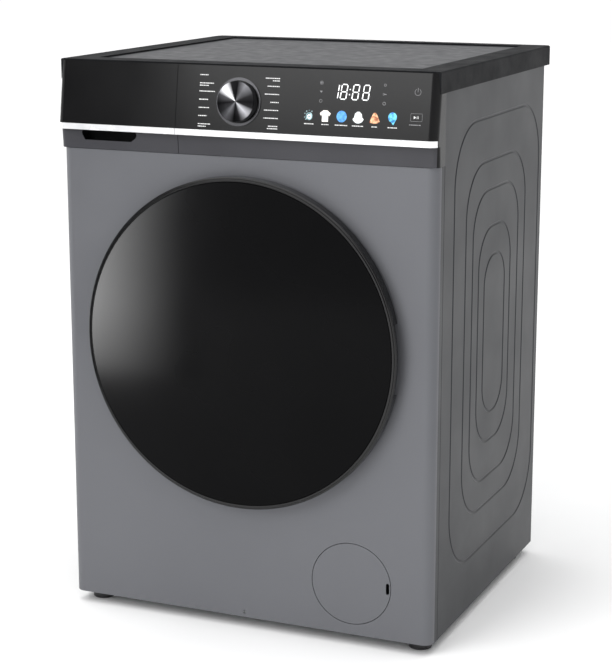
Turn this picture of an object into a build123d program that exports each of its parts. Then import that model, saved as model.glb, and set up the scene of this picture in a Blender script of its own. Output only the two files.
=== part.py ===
"""A slim front load washing machine, built as separate pieces.

Units are millimetres. X runs right as seen from the front, Y runs back, Z runs up.
The origin is on the floor under the middle of the machine's bounding box.
Depths, called "deep" below, are measured back from the face of the front panel.
"""

import os
from math import acos, atan2, cos, radians, sin, sqrt

from build123d import *

# ---------------------------------------------------------------- overall sizes
width = 596.0  # across the worktop
height = 850.0  # floor to the top of the worktop rim
worktop_back = 542.0  # depth of the worktop's rear edge
cabinet_depth = 505.0  # depth of the side panels' rear edge
side_inset = 1.0  # each side panel stands in from the worktop's edge
sheet = 1.0  # steel sheet of the cabinet
worktop_height = 30.0
fascia_bottom = 719.0  # underside of the control panel
fascia_back = 27.0  # depth of the control panel's rear edge
foot_height = 17.0  # floor to the underside of the base tray

# ---------------------------------------------------------------- door and drum axis
drum_z = 445.0  # height of the drum's axis
door_radius = 247.5
door_front = 26.0  # the door rim's front face, ahead of the front panel
door_back = 4.0  # the door rim's back face, ahead of the front panel
glass_bulge = 11.0  # the door glass's crown, ahead of the rim
tub_radius = 258.0
tub_wall = 4.0
drum_radius = 238.0
drum_sheet = 1.0

# the bounding box runs from the door glass's crown to the worktop's rear edge
front_reach = door_front + glass_bulge
front_y = -(worktop_back - front_reach) / 2

half_width = width / 2
cabinet_half = half_width - side_inset
inner_half = cabinet_half - sheet
worktop_bottom = height - worktop_height


def at_depth(depth):
    """The upright plane at this depth: its x is X, its y is Z, and it faces the front."""
    return Plane.XZ.offset(-(front_y + depth))


def level(z):
    """The level plane at this height, with its y at the front panel's face."""
    return Plane((0, front_y, z))


def axis_plane(x, z):
    """A level plane for profiles turned about a front-to-back axis: x is the radius, y the depth."""
    return Plane((x, front_y, z))


def front_axis(x, z):
    """A front-to-back axis through (x, z)."""
    return Axis((x, front_y, z), (0, 1, 0))


def save(piece, node):
    """Labels a finished piece and writes its STEP file."""
    piece.part.label = node
    export_step(piece.part, f"parts/{node}.step")
    print(node, len(piece.part.solids()), round(piece.part.volume))


def block(x0, x1, deep0, deep1, z0, z1, mode=Mode.ADD):
    """A box between two X values, two depths and two heights, in the current part."""
    with Locations(((x0 + x1) / 2, front_y + (deep0 + deep1) / 2, (z0 + z1) / 2)):
        Box(x1 - x0, deep1 - deep0, z1 - z0, mode=mode)


def rod(x, z, radius, deep0, deep1, mode=Mode.ADD):
    """A front-to-back cylinder in the current part."""
    with BuildSketch(at_depth(deep0)) as disc:
        with Locations((x, z)):
            Circle(radius)
    extrude(disc.sketch, amount=-(deep1 - deep0), mode=mode)


def post(x, deep, radius, z0, z1, mode=Mode.ADD):
    """An upright cylinder in the current part."""
    with BuildSketch(level(z0)) as disc:
        with Locations((x, deep)):
            Circle(radius)
    extrude(disc.sketch, amount=z1 - z0, mode=mode)


def turned(points, x=0.0, z=drum_z, mode=Mode.ADD):
    """A ring turned about the front-to-back axis at (x, z) from (radius, depth) points."""
    with BuildSketch(axis_plane(x, z)) as profile:
        with BuildLine():
            Polyline(points, close=True)
        make_face()
    revolve(profile.sketch, axis=front_axis(x, z), mode=mode)


os.makedirs("parts", exist_ok=True)

# ---------------------------------------------------------------- feet
foot_radius = 17.5
foot_pad = 10.0  # height of the foot's pad
foot_stud = 5.0  # radius of the threaded stud
stud_top = 52.0
running = 0.05  # radial clearance of a shaft in its hole
foot_side = 30.0  # a foot's axis, in from the side panel's face
front_foot_deep = 40.0
rear_foot_deep = 460.0
foot_x = cabinet_half - foot_side
foot_places = {
    "front_left_foot": (-foot_x, front_foot_deep),
    "front_right_foot": (foot_x, front_foot_deep),
    "rear_left_foot": (-foot_x, rear_foot_deep),
    "rear_right_foot": (foot_x, rear_foot_deep),
}
nut_gap = 0.2  # between a foot's pad and its lock nut
nut_flats = 8.5  # half the lock nut's width across its flats


def make_foot(x, deep):
    with BuildPart() as foot:
        with BuildSketch(level(0)):
            with Locations((x, deep)):
                Circle(foot_radius)
        extrude(amount=foot_pad)
        fillet(foot.edges().filter_by(GeomType.CIRCLE), 1.5)
        post(x, deep, foot_stud, foot_pad, stud_top)
    return foot


for node, place in foot_places.items():
    save(make_foot(*place), node)

with BuildPart() as foot_nuts:
    with BuildSketch(level(foot_pad + nut_gap)):
        with Locations(*foot_places.values()):
            RegularPolygon(nut_flats, 6, major_radius=False)
            Circle(foot_stud + running, mode=Mode.SUBTRACT)
    extrude(amount=foot_height - foot_pad - nut_gap)
save(foot_nuts, "foot_nuts")

# ---------------------------------------------------------------- base tray
tray_floor = 2.5
tray_rim = 34.0  # height of the base tray's upstand
tray_front = 17.0
tray_gap = 0.1  # the tray's clearance inside the side panels
boss_radius = 15.0
boss_height = 26.0
damper_x = 165.0
damper_deep = 250.0
damper_foot = 42.0  # height of the damper's lower seat
rear_panel_deep = cabinet_depth - 2 * sheet
flap_x = 171.9
flap_z = 96.8
flap_radius = 62.0
surround_radius = 72.0  # outside of the moulding round the service flap
surround_back = 24.0
pump_x = flap_x
pump_z = flap_z
pump_radius = 34.0
pump_seat = pump_z - pump_radius
tray_half = inner_half - tray_gap
tray_back = rear_panel_deep - tray_gap


def make_base_tray():
    top = foot_height + tray_rim
    with BuildPart() as tray:
        block(-tray_half, tray_half, tray_front, tray_back, foot_height, top)
        inner = tray_half - tray_floor
        block(-inner, inner, tray_front + tray_floor, tray_back - tray_floor,
              foot_height + tray_floor, top, mode=Mode.SUBTRACT)
        for x, deep in foot_places.values():
            post(x, deep, boss_radius, foot_height, foot_height + boss_height)
        for x in (-damper_x, damper_x):
            block(x - 18, x + 18, damper_deep - 18, damper_deep + 18, foot_height, damper_foot)
        for x in (-120.0, 0.0, 120.0):  # stiffening ribs
            block(x - 2, x + 2, tray_front, tray_back, foot_height, foot_height + 14)
        # pump cradle
        block(pump_x - 22, pump_x + 22, 45, 95, foot_height, pump_seat + 10)
        rod(pump_x, pump_z, pump_radius, 40, 100, mode=Mode.SUBTRACT)
        rod(flap_x, flap_z, surround_radius + 0.3, 0, surround_back + 1, mode=Mode.SUBTRACT)
        for x, deep in foot_places.values():
            post(x, deep, foot_stud + running, foot_height, stud_top + 2, mode=Mode.SUBTRACT)
    return tray


save(make_base_tray(), "base_tray")

# ---------------------------------------------------------------- side panels
side_front = 16.5  # where the side panel meets the front panel's wrapped edge
side_bottom = 18.0
flange = 16.0  # width of the folded flanges
flange_bottom = foot_height + tray_rim + 0.2
crease_deep = 28.0
crease = 1.2
emboss_depth = 1.0
emboss_z = 433.0  # height of the pressed pattern's centre
# centre depth, half depth, half height and corner radius of each pressed ring
emboss_rings = [
    (280.0, 207.0, 334.0, 92.0),
    (272.0, 145.0, 269.0, 80.0),
    (271.0, 111.0, 225.0, 68.0),
    (267.0, 78.0, 168.0, 62.0),
    (267.0, 50.0, 123.0, 46.0),
]
groove_half = 2.6  # half width of a groove at the surface
groove_floor = 1.0


def ring_path(deep, half_deep, half_high, corner, x):
    """The rounded rectangle that a pressed groove follows, on the side panel's face."""
    plane = Plane((x, front_y + deep, emboss_z), x_dir=(0, 1, 0), z_dir=(1, 0, 0))
    with BuildSketch(plane) as outline:
        RectangleRounded(2 * half_deep, 2 * half_high, corner)
    return outline.sketch.face().outer_wire()


def make_side_panel(side):
    """side is 1 for the right panel and -1 for the left one."""
    outer, inner = side * cabinet_half, side * inner_half
    folded = side * (inner_half - flange)
    low, high = min(outer, inner), max(outer, inner)
    flange_low, flange_high = min(inner, folded), max(inner, folded)
    with BuildPart() as panel:
        block(low, high, side_front, cabinet_depth, side_bottom, worktop_bottom)
        block(flange_low, flange_high, side_front, side_front + sheet, flange_bottom, worktop_bottom)
        block(flange_low, flange_high, cabinet_depth - sheet, cabinet_depth, side_bottom, worktop_bottom)
        for deep, half_deep, half_high, corner in emboss_rings:
            start = front_y + deep
            for x, half, floor, mode in (
                (inner, groove_half + sheet, groove_floor + sheet, Mode.ADD),
                (outer, groove_half, groove_floor, Mode.SUBTRACT),
            ):
                path = ring_path(deep, half_deep, half_high, corner, x)
                top = emboss_z + half_high
                with BuildSketch(Plane((x, start, top), x_dir=(0, 0, 1), z_dir=(0, 1, 0))):
                    # local x is Z, local y is X
                    with BuildLine():
                        Polyline((-half, 0), (half, 0), (floor, -side * emboss_depth),
                                 (-floor, -side * emboss_depth), close=True)
                    make_face()
                sweep(path=path, mode=mode)
        block(outer - 0.4, outer + 0.4, crease_deep, crease_deep + crease,
              side_bottom, worktop_bottom, mode=Mode.SUBTRACT)
        # the control panel's side return sits in this corner
        block(low - 20, high + 20, 0, fascia_back + 0.3, fascia_bottom - 0.5, worktop_bottom,
              mode=Mode.SUBTRACT)
    return panel


save(make_side_panel(-1), "left_side_panel")
save(make_side_panel(1), "right_side_panel")

# ---------------------------------------------------------------- front panel
porthole_radius = 165.0
panel_corner = 16.0  # the wrapped upright edge
panel_top = fascia_bottom - 0.7
porthole_flange = 13.0  # how far the porthole's edge is turned in
hinge_x = -238.0  # the door hinge's axis
hinge_ahead = 15.0  # the hinge axis, ahead of the front panel
hinge_slot = (-232.5, -218.0)  # the bracket's slot in the front panel
knuckle_half = 12.0  # half height of the bracket's knuckle
latch_x = 200.0
latch_slot = (188.0, 214.0)
seam = 1.0  # gap round the service flap


def make_front_panel():
    edge = side_front - 0.3
    with BuildPart() as panel:
        with BuildSketch(level(side_bottom)) as plan:
            with Locations((0, edge)):
                RectangleRounded(2 * cabinet_half, 2 * edge, panel_corner - 0.5)
            with Locations((0, edge)):
                RectangleRounded(2 * inner_half, 2 * (edge - sheet), panel_corner - 1.5, mode=Mode.SUBTRACT)
            with Locations((0, 1.5 * edge)):
                Rectangle(2 * width, edge, mode=Mode.SUBTRACT)
        extrude(amount=panel_top - side_bottom)
        block(-cabinet_half + 14, cabinet_half - 14, 0.5, tray_front - 3, side_bottom, side_bottom + sheet)
        rod(0, drum_z, porthole_radius + sheet, 0, porthole_flange)
        rod(0, drum_z, porthole_radius, -1, porthole_flange + 1, mode=Mode.SUBTRACT)
        block(*hinge_slot, -1, 2, drum_z - knuckle_half - 1.5, drum_z + knuckle_half + 1.5,
              mode=Mode.SUBTRACT)
        block(*latch_slot, -1, 2, drum_z - 9, drum_z + 9, mode=Mode.SUBTRACT)
        rod(flap_x, flap_z, flap_radius + seam, -1, 2, mode=Mode.SUBTRACT)
        rod(-2, side_bottom + 8, 2.5, -1, 2, mode=Mode.SUBTRACT)
    return panel


save(make_front_panel(), "front_panel")

# ---------------------------------------------------------------- service flap
flap_sheet = 2.5
flap_edge = flap_x - flap_radius  # left edge, which the flap swings about
hook_offset = 9.5  # each hook's height above or below the flap's middle
hook_half = 4.0
hook_reach = 3.4  # how far each hook goes behind the panel
hook_back = 3.7
hook_swing = 8.0  # depth of the windows that the hooks turn in
coin_slot = (5.4, 17.0)  # width and height
coin_slot_inset = 4.6  # from the flap's right edge to the slot's middle
pin_fit = 0.05
soft_gap = 0.3

with BuildPart() as filter_surround:
    turned([(flap_radius + 2, sheet), (surround_radius, sheet), (surround_radius, surround_back),
            (38, surround_back), (38, surround_back - 2), (flap_radius + 2, surround_back - 2)],
           flap_x, flap_z)
    block(flap_x + flap_radius - 10, flap_x + flap_radius + 4, 12, 14, flap_z - 9, flap_z + 9)
    # windows that the flap's hooks turn in
    for z in (flap_z - hook_offset, flap_z + hook_offset):
        block(flap_edge - hook_reach - 2.6, flap_edge + 0.6, 0, hook_swing,
              z - hook_half - 1, z + hook_half + 1, mode=Mode.SUBTRACT)
save(filter_surround, "filter_surround")

with BuildPart() as service_flap:
    rod(flap_x, flap_z, flap_radius, 0, flap_sheet)
    # hooks that reach behind the panel's edge and hold the flap
    for z in (flap_z - hook_offset, flap_z + hook_offset):
        block(flap_edge + 0.6, flap_edge + 3, flap_sheet - 0.5, hook_back, z - hook_half, z + hook_half)
        block(flap_edge - hook_reach, flap_edge + 3, hook_back - 1.5, hook_back, z - hook_half,
              z + hook_half)
        block(flap_edge - hook_reach, flap_edge - 2.1, sheet + soft_gap, hook_back,
              z - hook_half, z + hook_half)
    # moulded finger that presses on the surround's keeper
    block(flap_x + flap_radius - 14, flap_x + flap_radius - 11, flap_sheet, 9, flap_z - 5, flap_z + 5)
    # slot for the coin that opens it
    with BuildSketch(at_depth(-1)) as slot:
        with Locations((flap_x + flap_radius - coin_slot_inset, flap_z)):
            SlotOverall(coin_slot[1], coin_slot[0], rotation=90)
    extrude(slot.sketch, amount=-(flap_sheet + 2), mode=Mode.SUBTRACT)
save(service_flap, "service_flap")

# ---------------------------------------------------------------- drain pump and its filter
filter_shank = 22.0
pump_front = 40.0
pump_back = 100.0

with BuildPart() as drain_pump:
    rod(pump_x, pump_z, pump_radius, pump_front, pump_back)
    rod(pump_x, pump_z, 24, pump_back, pump_back + 55)
    rod(pump_x - 22, pump_z + 20, 9, pump_back, pump_back + 20)
    rod(pump_x, pump_z, filter_shank + pin_fit, pump_front - 1, pump_back - 8, mode=Mode.SUBTRACT)
save(drain_pump, "drain_pump")

with BuildPart() as pump_filter:
    rod(pump_x, pump_z, 29, 28, pump_front - 0.3)
    rod(pump_x, pump_z, filter_shank, pump_front - 0.3, 58)
    for angle in (45, 135, 225, 315):
        x = pump_x + 15 * cos(radians(angle))
        z = pump_z + 15 * sin(radians(angle))
        rod(x, z, 2.5, 58, pump_back - 12)
    rod(pump_x, pump_z, 18, pump_back - 12, pump_back - 10)
    block(pump_x - 24, pump_x + 24, 15, 28, pump_z - 4, pump_z + 4)
save(pump_filter, "pump_filter")

# ---------------------------------------------------------------- door hinge and door
rim_wall = 4.0
rim_front = 22.5  # the rim's front lip, ahead of the panel
shelf_front = 21.0
shelf_back = 18.5
trim_outer = 244.5
trim_inner = 241.3
glass_radius = 241.0
glass_edge = 24.0
glass_thick = 3.0
pin_radius = 3.0
knuckle_radius = 5.2
arm_half = 2.5
pin_half = 29.0
arm_angle = 55.0  # the bracket arm's lean, from X towards the back
rim_inner = door_radius - rim_wall


def make_hinge_bracket():
    run = 20.0  # depth the arm covers, from the pin to the plate
    lean = radians(arm_angle)
    ux, uy = cos(lean), sin(lean)
    pin = (hinge_x, -hinge_ahead)
    end = (hinge_x + run / uy * ux, run - hinge_ahead)
    with BuildPart() as bracket:
        with BuildSketch(level(drum_z - knuckle_half)) as arm:
            with Locations(pin):
                Circle(knuckle_radius)
            with BuildLine():
                Polyline((pin[0] - arm_half * uy, pin[1] + arm_half * ux),
                         (end[0] - arm_half * uy, end[1] + arm_half * ux),
                         (end[0] + arm_half * uy, end[1] - arm_half * ux),
                         (pin[0] + arm_half * uy, pin[1] - arm_half * ux), close=True)
            make_face()
        extrude(arm.sketch, amount=2 * knuckle_half)
        post(hinge_x, -hinge_ahead, pin_radius, drum_z - pin_half, drum_z + pin_half)
        block(-252, -182, sheet, sheet + 3, drum_z - 40, drum_z + 40)
    return bracket


save(make_hinge_bracket(), "door_hinge_bracket")

grip_half = 52.0


def make_door_frame():
    """The black rim: an outer wall, a shelf for the glass and the hinge's bearing blocks."""
    with BuildPart() as frame:
        turned([(225, -shelf_back), (225, -shelf_front), (trim_outer + 0.2, -shelf_front),
                (trim_outer + 0.2, -rim_front), (door_radius - 1.5, -rim_front),
                (door_radius, -rim_front + 1.5), (door_radius, -door_back - 1),
                (door_radius - 1, -door_back),
                (rim_inner, -door_back), (rim_inner, -shelf_back)])
        for angle in range(30, 360, 60):
            x = 233 * cos(radians(angle))
            z = drum_z + 233 * sin(radians(angle))
            rod(x, z, 5, -shelf_back, -door_back - 3.2)
        # the knuckle turns in this window
        block(hinge_x - 6, -222, -shelf_front - 0.1, -shelf_back + 0.1, drum_z - 13.5, drum_z + 13.5,
              mode=Mode.SUBTRACT)
        block(-door_radius - 1, hinge_x - 2, -18, 0, drum_z - 13.5, drum_z + 13.5, mode=Mode.SUBTRACT)
        for z in (drum_z - 21.5, drum_z + 21.5):
            block(-242.5, -230, -shelf_back, -door_back - 3.2, z - 8.5, z + 8.5)
            post(hinge_x, -hinge_ahead, pin_radius + pin_fit, z - 9, z + 9, mode=Mode.SUBTRACT)
        # room for fingers behind the rim
        block(205, door_radius + 1, -15.5, 0, drum_z - grip_half, drum_z + grip_half, mode=Mode.SUBTRACT)
    return frame


save(make_door_frame(), "door_frame")

with BuildPart() as door_trim:
    turned([(trim_inner, -shelf_front), (trim_outer, -shelf_front), (trim_outer, -glass_edge + 0.4),
            (trim_outer - 0.6, -glass_edge - 0.3), (trim_inner + 0.4, -glass_edge - 0.3),
            (trim_inner, -glass_edge + 0.1)])
save(door_trim, "door_trim")

crown = door_front + glass_bulge - glass_edge  # sagitta of the glass
glass_sphere = (glass_radius**2 + crown**2) / (2 * crown)
glass_centre = -door_front - glass_bulge + glass_sphere
back_radius = glass_radius - 4


def glass_curve(radius, inset=0.0):
    """The depth of the outer glass's face at this radius."""
    return glass_centre - sqrt((glass_sphere - inset) ** 2 - radius**2)


with BuildPart() as door_glass:
    with BuildSketch(axis_plane(0, drum_z)) as dome:
        with BuildLine():
            ThreePointArc((0, glass_curve(0)), (120, glass_curve(120)),
                          (glass_radius, glass_curve(glass_radius)))
            Line((glass_radius, glass_curve(glass_radius)), (glass_radius, -shelf_front))
            Line((glass_radius, -shelf_front), (back_radius - 8, -shelf_front))
            Line((back_radius - 8, -shelf_front),
                 (back_radius - 8, glass_curve(back_radius - 8, glass_thick)))
            ThreePointArc((back_radius - 8, glass_curve(back_radius - 8, glass_thick)),
                          (120, glass_curve(120, glass_thick)), (0, glass_curve(0, glass_thick)))
            Line((0, glass_curve(0, glass_thick)), (0, glass_curve(0)))
        make_face()
    revolve(dome.sketch, axis=front_axis(0, drum_z))
save(door_glass, "door_glass")

inner_back = door_back + 3.2
bowl_flange = 162.0
latch_pin_ahead = 8.0
latch_half = 6.0  # half height of the latch hook
latch_pin = 1.2  # radius of the hook's pegs

with BuildPart() as door_inner_ring:
    turned([(149.5, -door_back), (rim_inner - 0.2, -door_back), (rim_inner - 0.2, -inner_back),
            (152, -inner_back), (152, -inner_back - 2), (149.5, -inner_back - 2)])
    block(-250, -222, -12, 0, drum_z - 30.5, drum_z + 30.5, mode=Mode.SUBTRACT)
    block(203, 250, -12, 0, drum_z - grip_half, drum_z + grip_half, mode=Mode.SUBTRACT)
    # the grip's own back wall and inner side
    block(203, 206, -17.5, -door_back, drum_z - grip_half, drum_z + grip_half)
    block(203, 238, -17.5, -15.7, drum_z - grip_half + 6, drum_z + grip_half - 6)
    # window and pin bosses for the latch hook
    block(latch_x - 9, latch_x + 2.9, -12, 0, drum_z - latch_half - 1, drum_z + latch_half + 1,
          mode=Mode.SUBTRACT)
    for z in (drum_z - latch_half - 4, drum_z + latch_half + 4):
        block(latch_x - 3, latch_x + 3, -latch_pin_ahead - 3, -inner_back, z - 3, z + 3)
        post(latch_x, -latch_pin_ahead, latch_pin + pin_fit, z - 4, z + 4, mode=Mode.SUBTRACT)
save(door_inner_ring, "door_inner_ring")


with BuildPart() as door_bowl:
    with BuildSketch(axis_plane(0, drum_z)) as bowl:
        with BuildLine():
            Polyline((0, 94), (100, 94), (114, 91.5), (121, 86), (136, 50), (146.5, 10), (146.5, -9.5),
                     (bowl_flange, -9.5), (bowl_flange, -12.5), (142.5, -12.5), (142.5, 9.5), (132, 48.8),
                     (117.3, 84), (112.5, 87.8), (100, 90), (0, 90), (0, 94))
        make_face()
    revolve(bowl.sketch, axis=front_axis(0, drum_z))
save(door_bowl, "door_bowl")

with BuildPart() as door_screws:
    for angle in range(0, 360, 30):
        x = 156 * cos(radians(angle + 15))
        z = drum_z + 156 * sin(radians(angle + 15))
        rod(x, z, 3.2, -door_back, -door_back + 2)
save(door_screws, "door_screws")

with BuildPart() as latch_hook:
    with BuildSketch(level(drum_z - latch_half)) as hook:
        with BuildLine():
            Polyline((latch_x - 2.5, -latch_pin_ahead), (latch_x - 2.5, 15),
                     (latch_x - 7, 11), (latch_x - 7, 15),
                     (latch_x - 1, 20), (latch_x + 1.5, 17), (latch_x + 1.5, -latch_pin_ahead), close=True)
        make_face()
        with Locations((latch_x, -latch_pin_ahead)):
            Circle(2.6)
    extrude(hook.sketch, amount=2 * latch_half)
    post(latch_x, -latch_pin_ahead, latch_pin, drum_z - latch_half - 6, drum_z + latch_half + 6)
save(latch_hook, "latch_hook")

with BuildPart() as door_lock:
    block(latch_x - 16, latch_x + 36, sheet, 36, drum_z - 30, drum_z + 30)
    block(latch_x - 13, latch_x + 14.5, 0, 26, drum_z - 9, drum_z + 9, mode=Mode.SUBTRACT)
    block(latch_x - 13, latch_x - 7.5, 4, 9.5, drum_z - 9, drum_z + 9)
save(door_lock, "door_lock")

# ---------------------------------------------------------------- control panel
slope_top = (2.0, 848.0)  # depth and height of the slanted face's top edge
slope_foot = (-12.0, 757.0)
trim_z = (748.0, 757.0)
trim_proud = 1.4
band_top = (-3.5, 748.0)
band_foot = (-1.5, fascia_bottom)
panel_round = 12.0  # rounding of the control panel's upright edges
moulding = 2.8  # wall of the mouldings
rounded_end = 7.0  # wall at the rounded end
seam_x = -101.5  # the drawer front meets the control panel here
fascia_seam = 0.35  # half the gap at that seam
shell_top = worktop_bottom - 0.3
slope_length = sqrt((slope_top[0] - slope_foot[0]) ** 2 + (slope_top[1] - slope_foot[1]) ** 2)
slope_sin = (slope_top[0] - slope_foot[0]) / slope_length
slope_cos = (slope_top[1] - slope_foot[1]) / slope_length


def on_slope(behind=0.0):
    """The slanted face's plane, moved in by behind: x is X, y runs up from the top edge."""
    base = Plane((0, front_y + slope_top[0], slope_top[1]), x_dir=(1, 0, 0),
                 z_dir=(0, -slope_cos, slope_sin))
    return base.offset(-behind)


def slope_rod(x, down, radius, out, inward, mode=Mode.ADD):
    """A cylinder square to the slanted face, from out in front of it to inward behind it."""
    with BuildSketch(on_slope(-out)) as disc:
        with Locations((x, -down)):
            Circle(radius)
    extrude(disc.sketch, amount=-(out + inward), mode=mode)


def slope_box(x0, x1, down0, down1, out, inward, mode=Mode.ADD):
    """A block square to the slanted face."""
    with BuildSketch(on_slope(-out)) as patch:
        with Locations(((x0 + x1) / 2, -(down0 + down1) / 2)):
            Rectangle(x1 - x0, down1 - down0)
    extrude(patch.sketch, amount=-(out + inward), mode=mode)


def along_x(points, x0, x1, mode=Mode.ADD):
    """A prism along X with this (depth, height) outline."""
    with BuildSketch(Plane((x0, front_y, 0), x_dir=(0, 1, 0), z_dir=(1, 0, 0))) as outline:
        with BuildLine():
            Polyline(points, close=True)
        make_face()
    extrude(outline.sketch, amount=x1 - x0, mode=mode)


def make_panel_shell(x0, x1, rounded):
    """A length of the control panel's moulding; rounded is the X of its rounded end."""
    with BuildPart() as band:
        along_x([band_top, band_foot, (fascia_back, fascia_bottom), (fascia_back, trim_z[0])], x0, x1)
        edge = band.edges().filter_by_position(Axis.X, rounded - 0.1, rounded + 0.1)
        fillet(edge.filter_by(lambda e: (e @ 0.5).Y < front_y + 5 and abs((e @ 0).Z - (e @ 1).Z) > 20),
               panel_round - 3)
    with BuildPart() as shell:
        along_x([slope_top, slope_foot, (slope_foot[0], trim_z[0]), (fascia_back, trim_z[0]),
                 (fascia_back, shell_top), (slope_top[0] + 2.7, shell_top),
                 (slope_top[0] + 2.7, slope_top[1])],
                x0, x1)
        corner = shell.edges().filter_by_position(Axis.X, rounded - 0.1, rounded + 0.1)
        corner = corner.filter_by(lambda e: (e @ 0.5).Y < front_y and abs((e @ 0).Z - (e @ 1).Z) > 5)
        fillet(corner, panel_round)
        add(band.part)
        # hollow from the back
        end0 = x0 + (moulding if rounded > 0 else rounded_end)
        end1 = x1 - (rounded_end if rounded > 0 else moulding)
        along_x([(0.6, shell_top - moulding), (slope_foot[0] + moulding, slope_foot[1]),
                 (slope_foot[0] + moulding, trim_z[0] + moulding), (0, trim_z[0] + 1),
                 (1.3, fascia_bottom + moulding), (fascia_back + 1, fascia_bottom + moulding),
                 (fascia_back + 1, shell_top - moulding)], end0, end1, mode=Mode.SUBTRACT)
    return shell


knob_x = -2.0
knob_down = 50.3
knob_radius = 29.0
knob_ring_outer = 34.5
knob_ring_inner = 30.5
knob_proud = 12.0
shaft_radius = 3.0
display_x = (139.0, 205.0)  # the display's ends and its distance down the slanted face
display_down = (15.0, 45.0)
window = 2.0  # wall left in front of the display
board_behind = 9.0
board_thick = 1.6


def make_fascia():
    shell = make_panel_shell(seam_x + fascia_seam, half_width, half_width)
    with shell:
        # the control board stands up through the moulding's top
        block(-79, 290, slope_top[0] + 2.7, 21, shell_top - 4, shell_top + 1, mode=Mode.SUBTRACT)
        for x in (-60.0, 70.0, 222.0, 280.0):
            slope_rod(x, 12, 3, -2.0, board_behind)
        for x in (-60.0, 70.0, 180.0, 280.0):
            slope_rod(x, 84, 3, -2.0, board_behind)
        slope_rod(knob_x, knob_down, shaft_radius + 1, 1, 8, mode=Mode.SUBTRACT)
        slope_box(*display_x, *display_down, -window, 12, mode=Mode.SUBTRACT)
    return shell


save(make_fascia(), "fascia")

with BuildPart() as control_board:
    slope_box(-75, 288, 8, 88, -board_behind, board_behind + board_thick)
    slope_box(display_x[0] + 2, display_x[1] - 2, display_down[0] + 2, display_down[1] - 2, -4,
              board_behind)
    slope_rod(knob_x, knob_down, 9, -4, board_behind)
    for x in (107.7, 132.0, 156.8, 181.6, 206.1, 231.9, 266.0):
        slope_box(x - 3, x + 3, 61, 67, -4, board_behind)
    slope_rod(knob_x, knob_down, shaft_radius + pin_fit, 0, 20, mode=Mode.SUBTRACT)
save(control_board, "control_board")

with BuildPart() as knob_ring:
    slope_rod(knob_x, knob_down, knob_ring_outer, 1.5, 0)
    slope_rod(knob_x, knob_down, knob_ring_inner, 2, 1, mode=Mode.SUBTRACT)
save(knob_ring, "knob_ring")

with BuildPart() as knob:
    slope_rod(knob_x, knob_down, knob_radius, knob_proud, -0.5)
    fillet(knob.edges().filter_by(GeomType.CIRCLE), 0.45)
    slope_rod(knob_x, knob_down, shaft_radius, 2, board_behind + board_thick + 1)
save(knob, "knob")


def make_trim(x0, x1, rounded):
    """The bright strip that wraps round the panel's end."""
    sign = 1 if rounded > 0 else -1
    centre = (rounded - sign * panel_round, slope_foot[0] + panel_round)
    with BuildPart() as strip:
        with BuildSketch(level(trim_z[0] + 0.1)) as plan:
            with Locations(centre):
                Circle(panel_round + trim_proud)
            with Locations((centre[0] - sign * width / 2, centre[1])):
                Rectangle(width, 2 * (panel_round + trim_proud))
            with Locations(centre):
                Circle(panel_round, mode=Mode.SUBTRACT)
            with Locations((centre[0] - sign * width / 2, centre[1] + width / 2)):
                Rectangle(width, width + 2 * panel_round, mode=Mode.SUBTRACT)
            with Locations((0, centre[1] - 6 + width / 2)):
                Rectangle(3 * width, width, mode=Mode.SUBTRACT)
        extrude(plan.sketch, amount=trim_z[1] - trim_z[0] - 0.2)
        block(-2 * width, x0, -40, 40, 700, 800, mode=Mode.SUBTRACT)
        block(x1, 2 * width, -40, 40, 700, 800, mode=Mode.SUBTRACT)
    return strip


save(make_trim(seam_x + fascia_seam, half_width, half_width), "fascia_trim")

# ---------------------------------------------------------------- detergent drawer
pocket_top = (-265.0, -157.0)  # the finger pocket's ends at its top
pocket_low = (-256.0, -179.0)
pocket_z = (732.0, trim_z[0])
pocket_depth = 16.0
pocket_back = pocket_depth + 2.5
tray_x = (-258.0, -116.0)
tray_z = (733.0, 795.0)
tray_end = 262.0
housing_x = (-262.0, -112.0)
housing_z = (726.0, 806.0)
housing_end = 300.0


def make_drawer_front():
    shell = make_panel_shell(-half_width, seam_x - fascia_seam, -half_width)
    with shell:
        block(pocket_top[0] - 3, pocket_top[1] + 3, -1, pocket_back, pocket_z[0] - 3, 782)
        with BuildSketch(at_depth(-6)) as mouth:
            with BuildLine():
                Polyline((pocket_top[0], pocket_z[1]), (pocket_low[0], pocket_z[0]),
                         (pocket_low[1], pocket_z[0]), (pocket_top[1], pocket_z[1]), close=True)
            make_face()
            fillet(mouth.vertices().sort_by(Axis.Z)[:2], 6)
        extrude(mouth.sketch, amount=-(6 + pocket_depth), mode=Mode.SUBTRACT)
        block(pocket_top[0] + 3, pocket_top[1] - 3, -8, pocket_depth, pocket_z[1] - 2, 768,
              mode=Mode.SUBTRACT)
    return shell


save(make_drawer_front(), "drawer_front")
save(make_trim(-half_width, seam_x - fascia_seam, -half_width), "drawer_trim")

with BuildPart() as drawer_tray:
    block(*tray_x, fascia_back, tray_end, *tray_z)
    wall = 2.0
    mid0, mid1 = tray_x[0] + 52, tray_x[0] + 96
    for low, high in ((tray_x[0], mid0), (mid0, mid1), (mid1, tray_x[1])):
        block(low + wall, high - wall / 2, fascia_back + wall, tray_end - wall, tray_z[0] + wall, 800,
              mode=Mode.SUBTRACT)
    # tongue that screws to the back of the drawer front
    block(tray_x[0], pocket_top[1], pocket_back, fascia_back, tray_z[0] + 40, tray_z[1])
save(drawer_tray, "drawer_tray")

with BuildPart() as siphon_cap:
    block(mid0 + wall + 0.3, mid1 - wall / 2 - 0.3, 215, tray_end - wall - 0.3, tray_z[0] + 40,
          tray_z[1] - 6)
    post((mid0 + mid1) / 2, 238, 7, tray_z[0] + wall + 0.2, tray_z[0] + 40)
save(siphon_cap, "siphon_cap")

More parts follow.
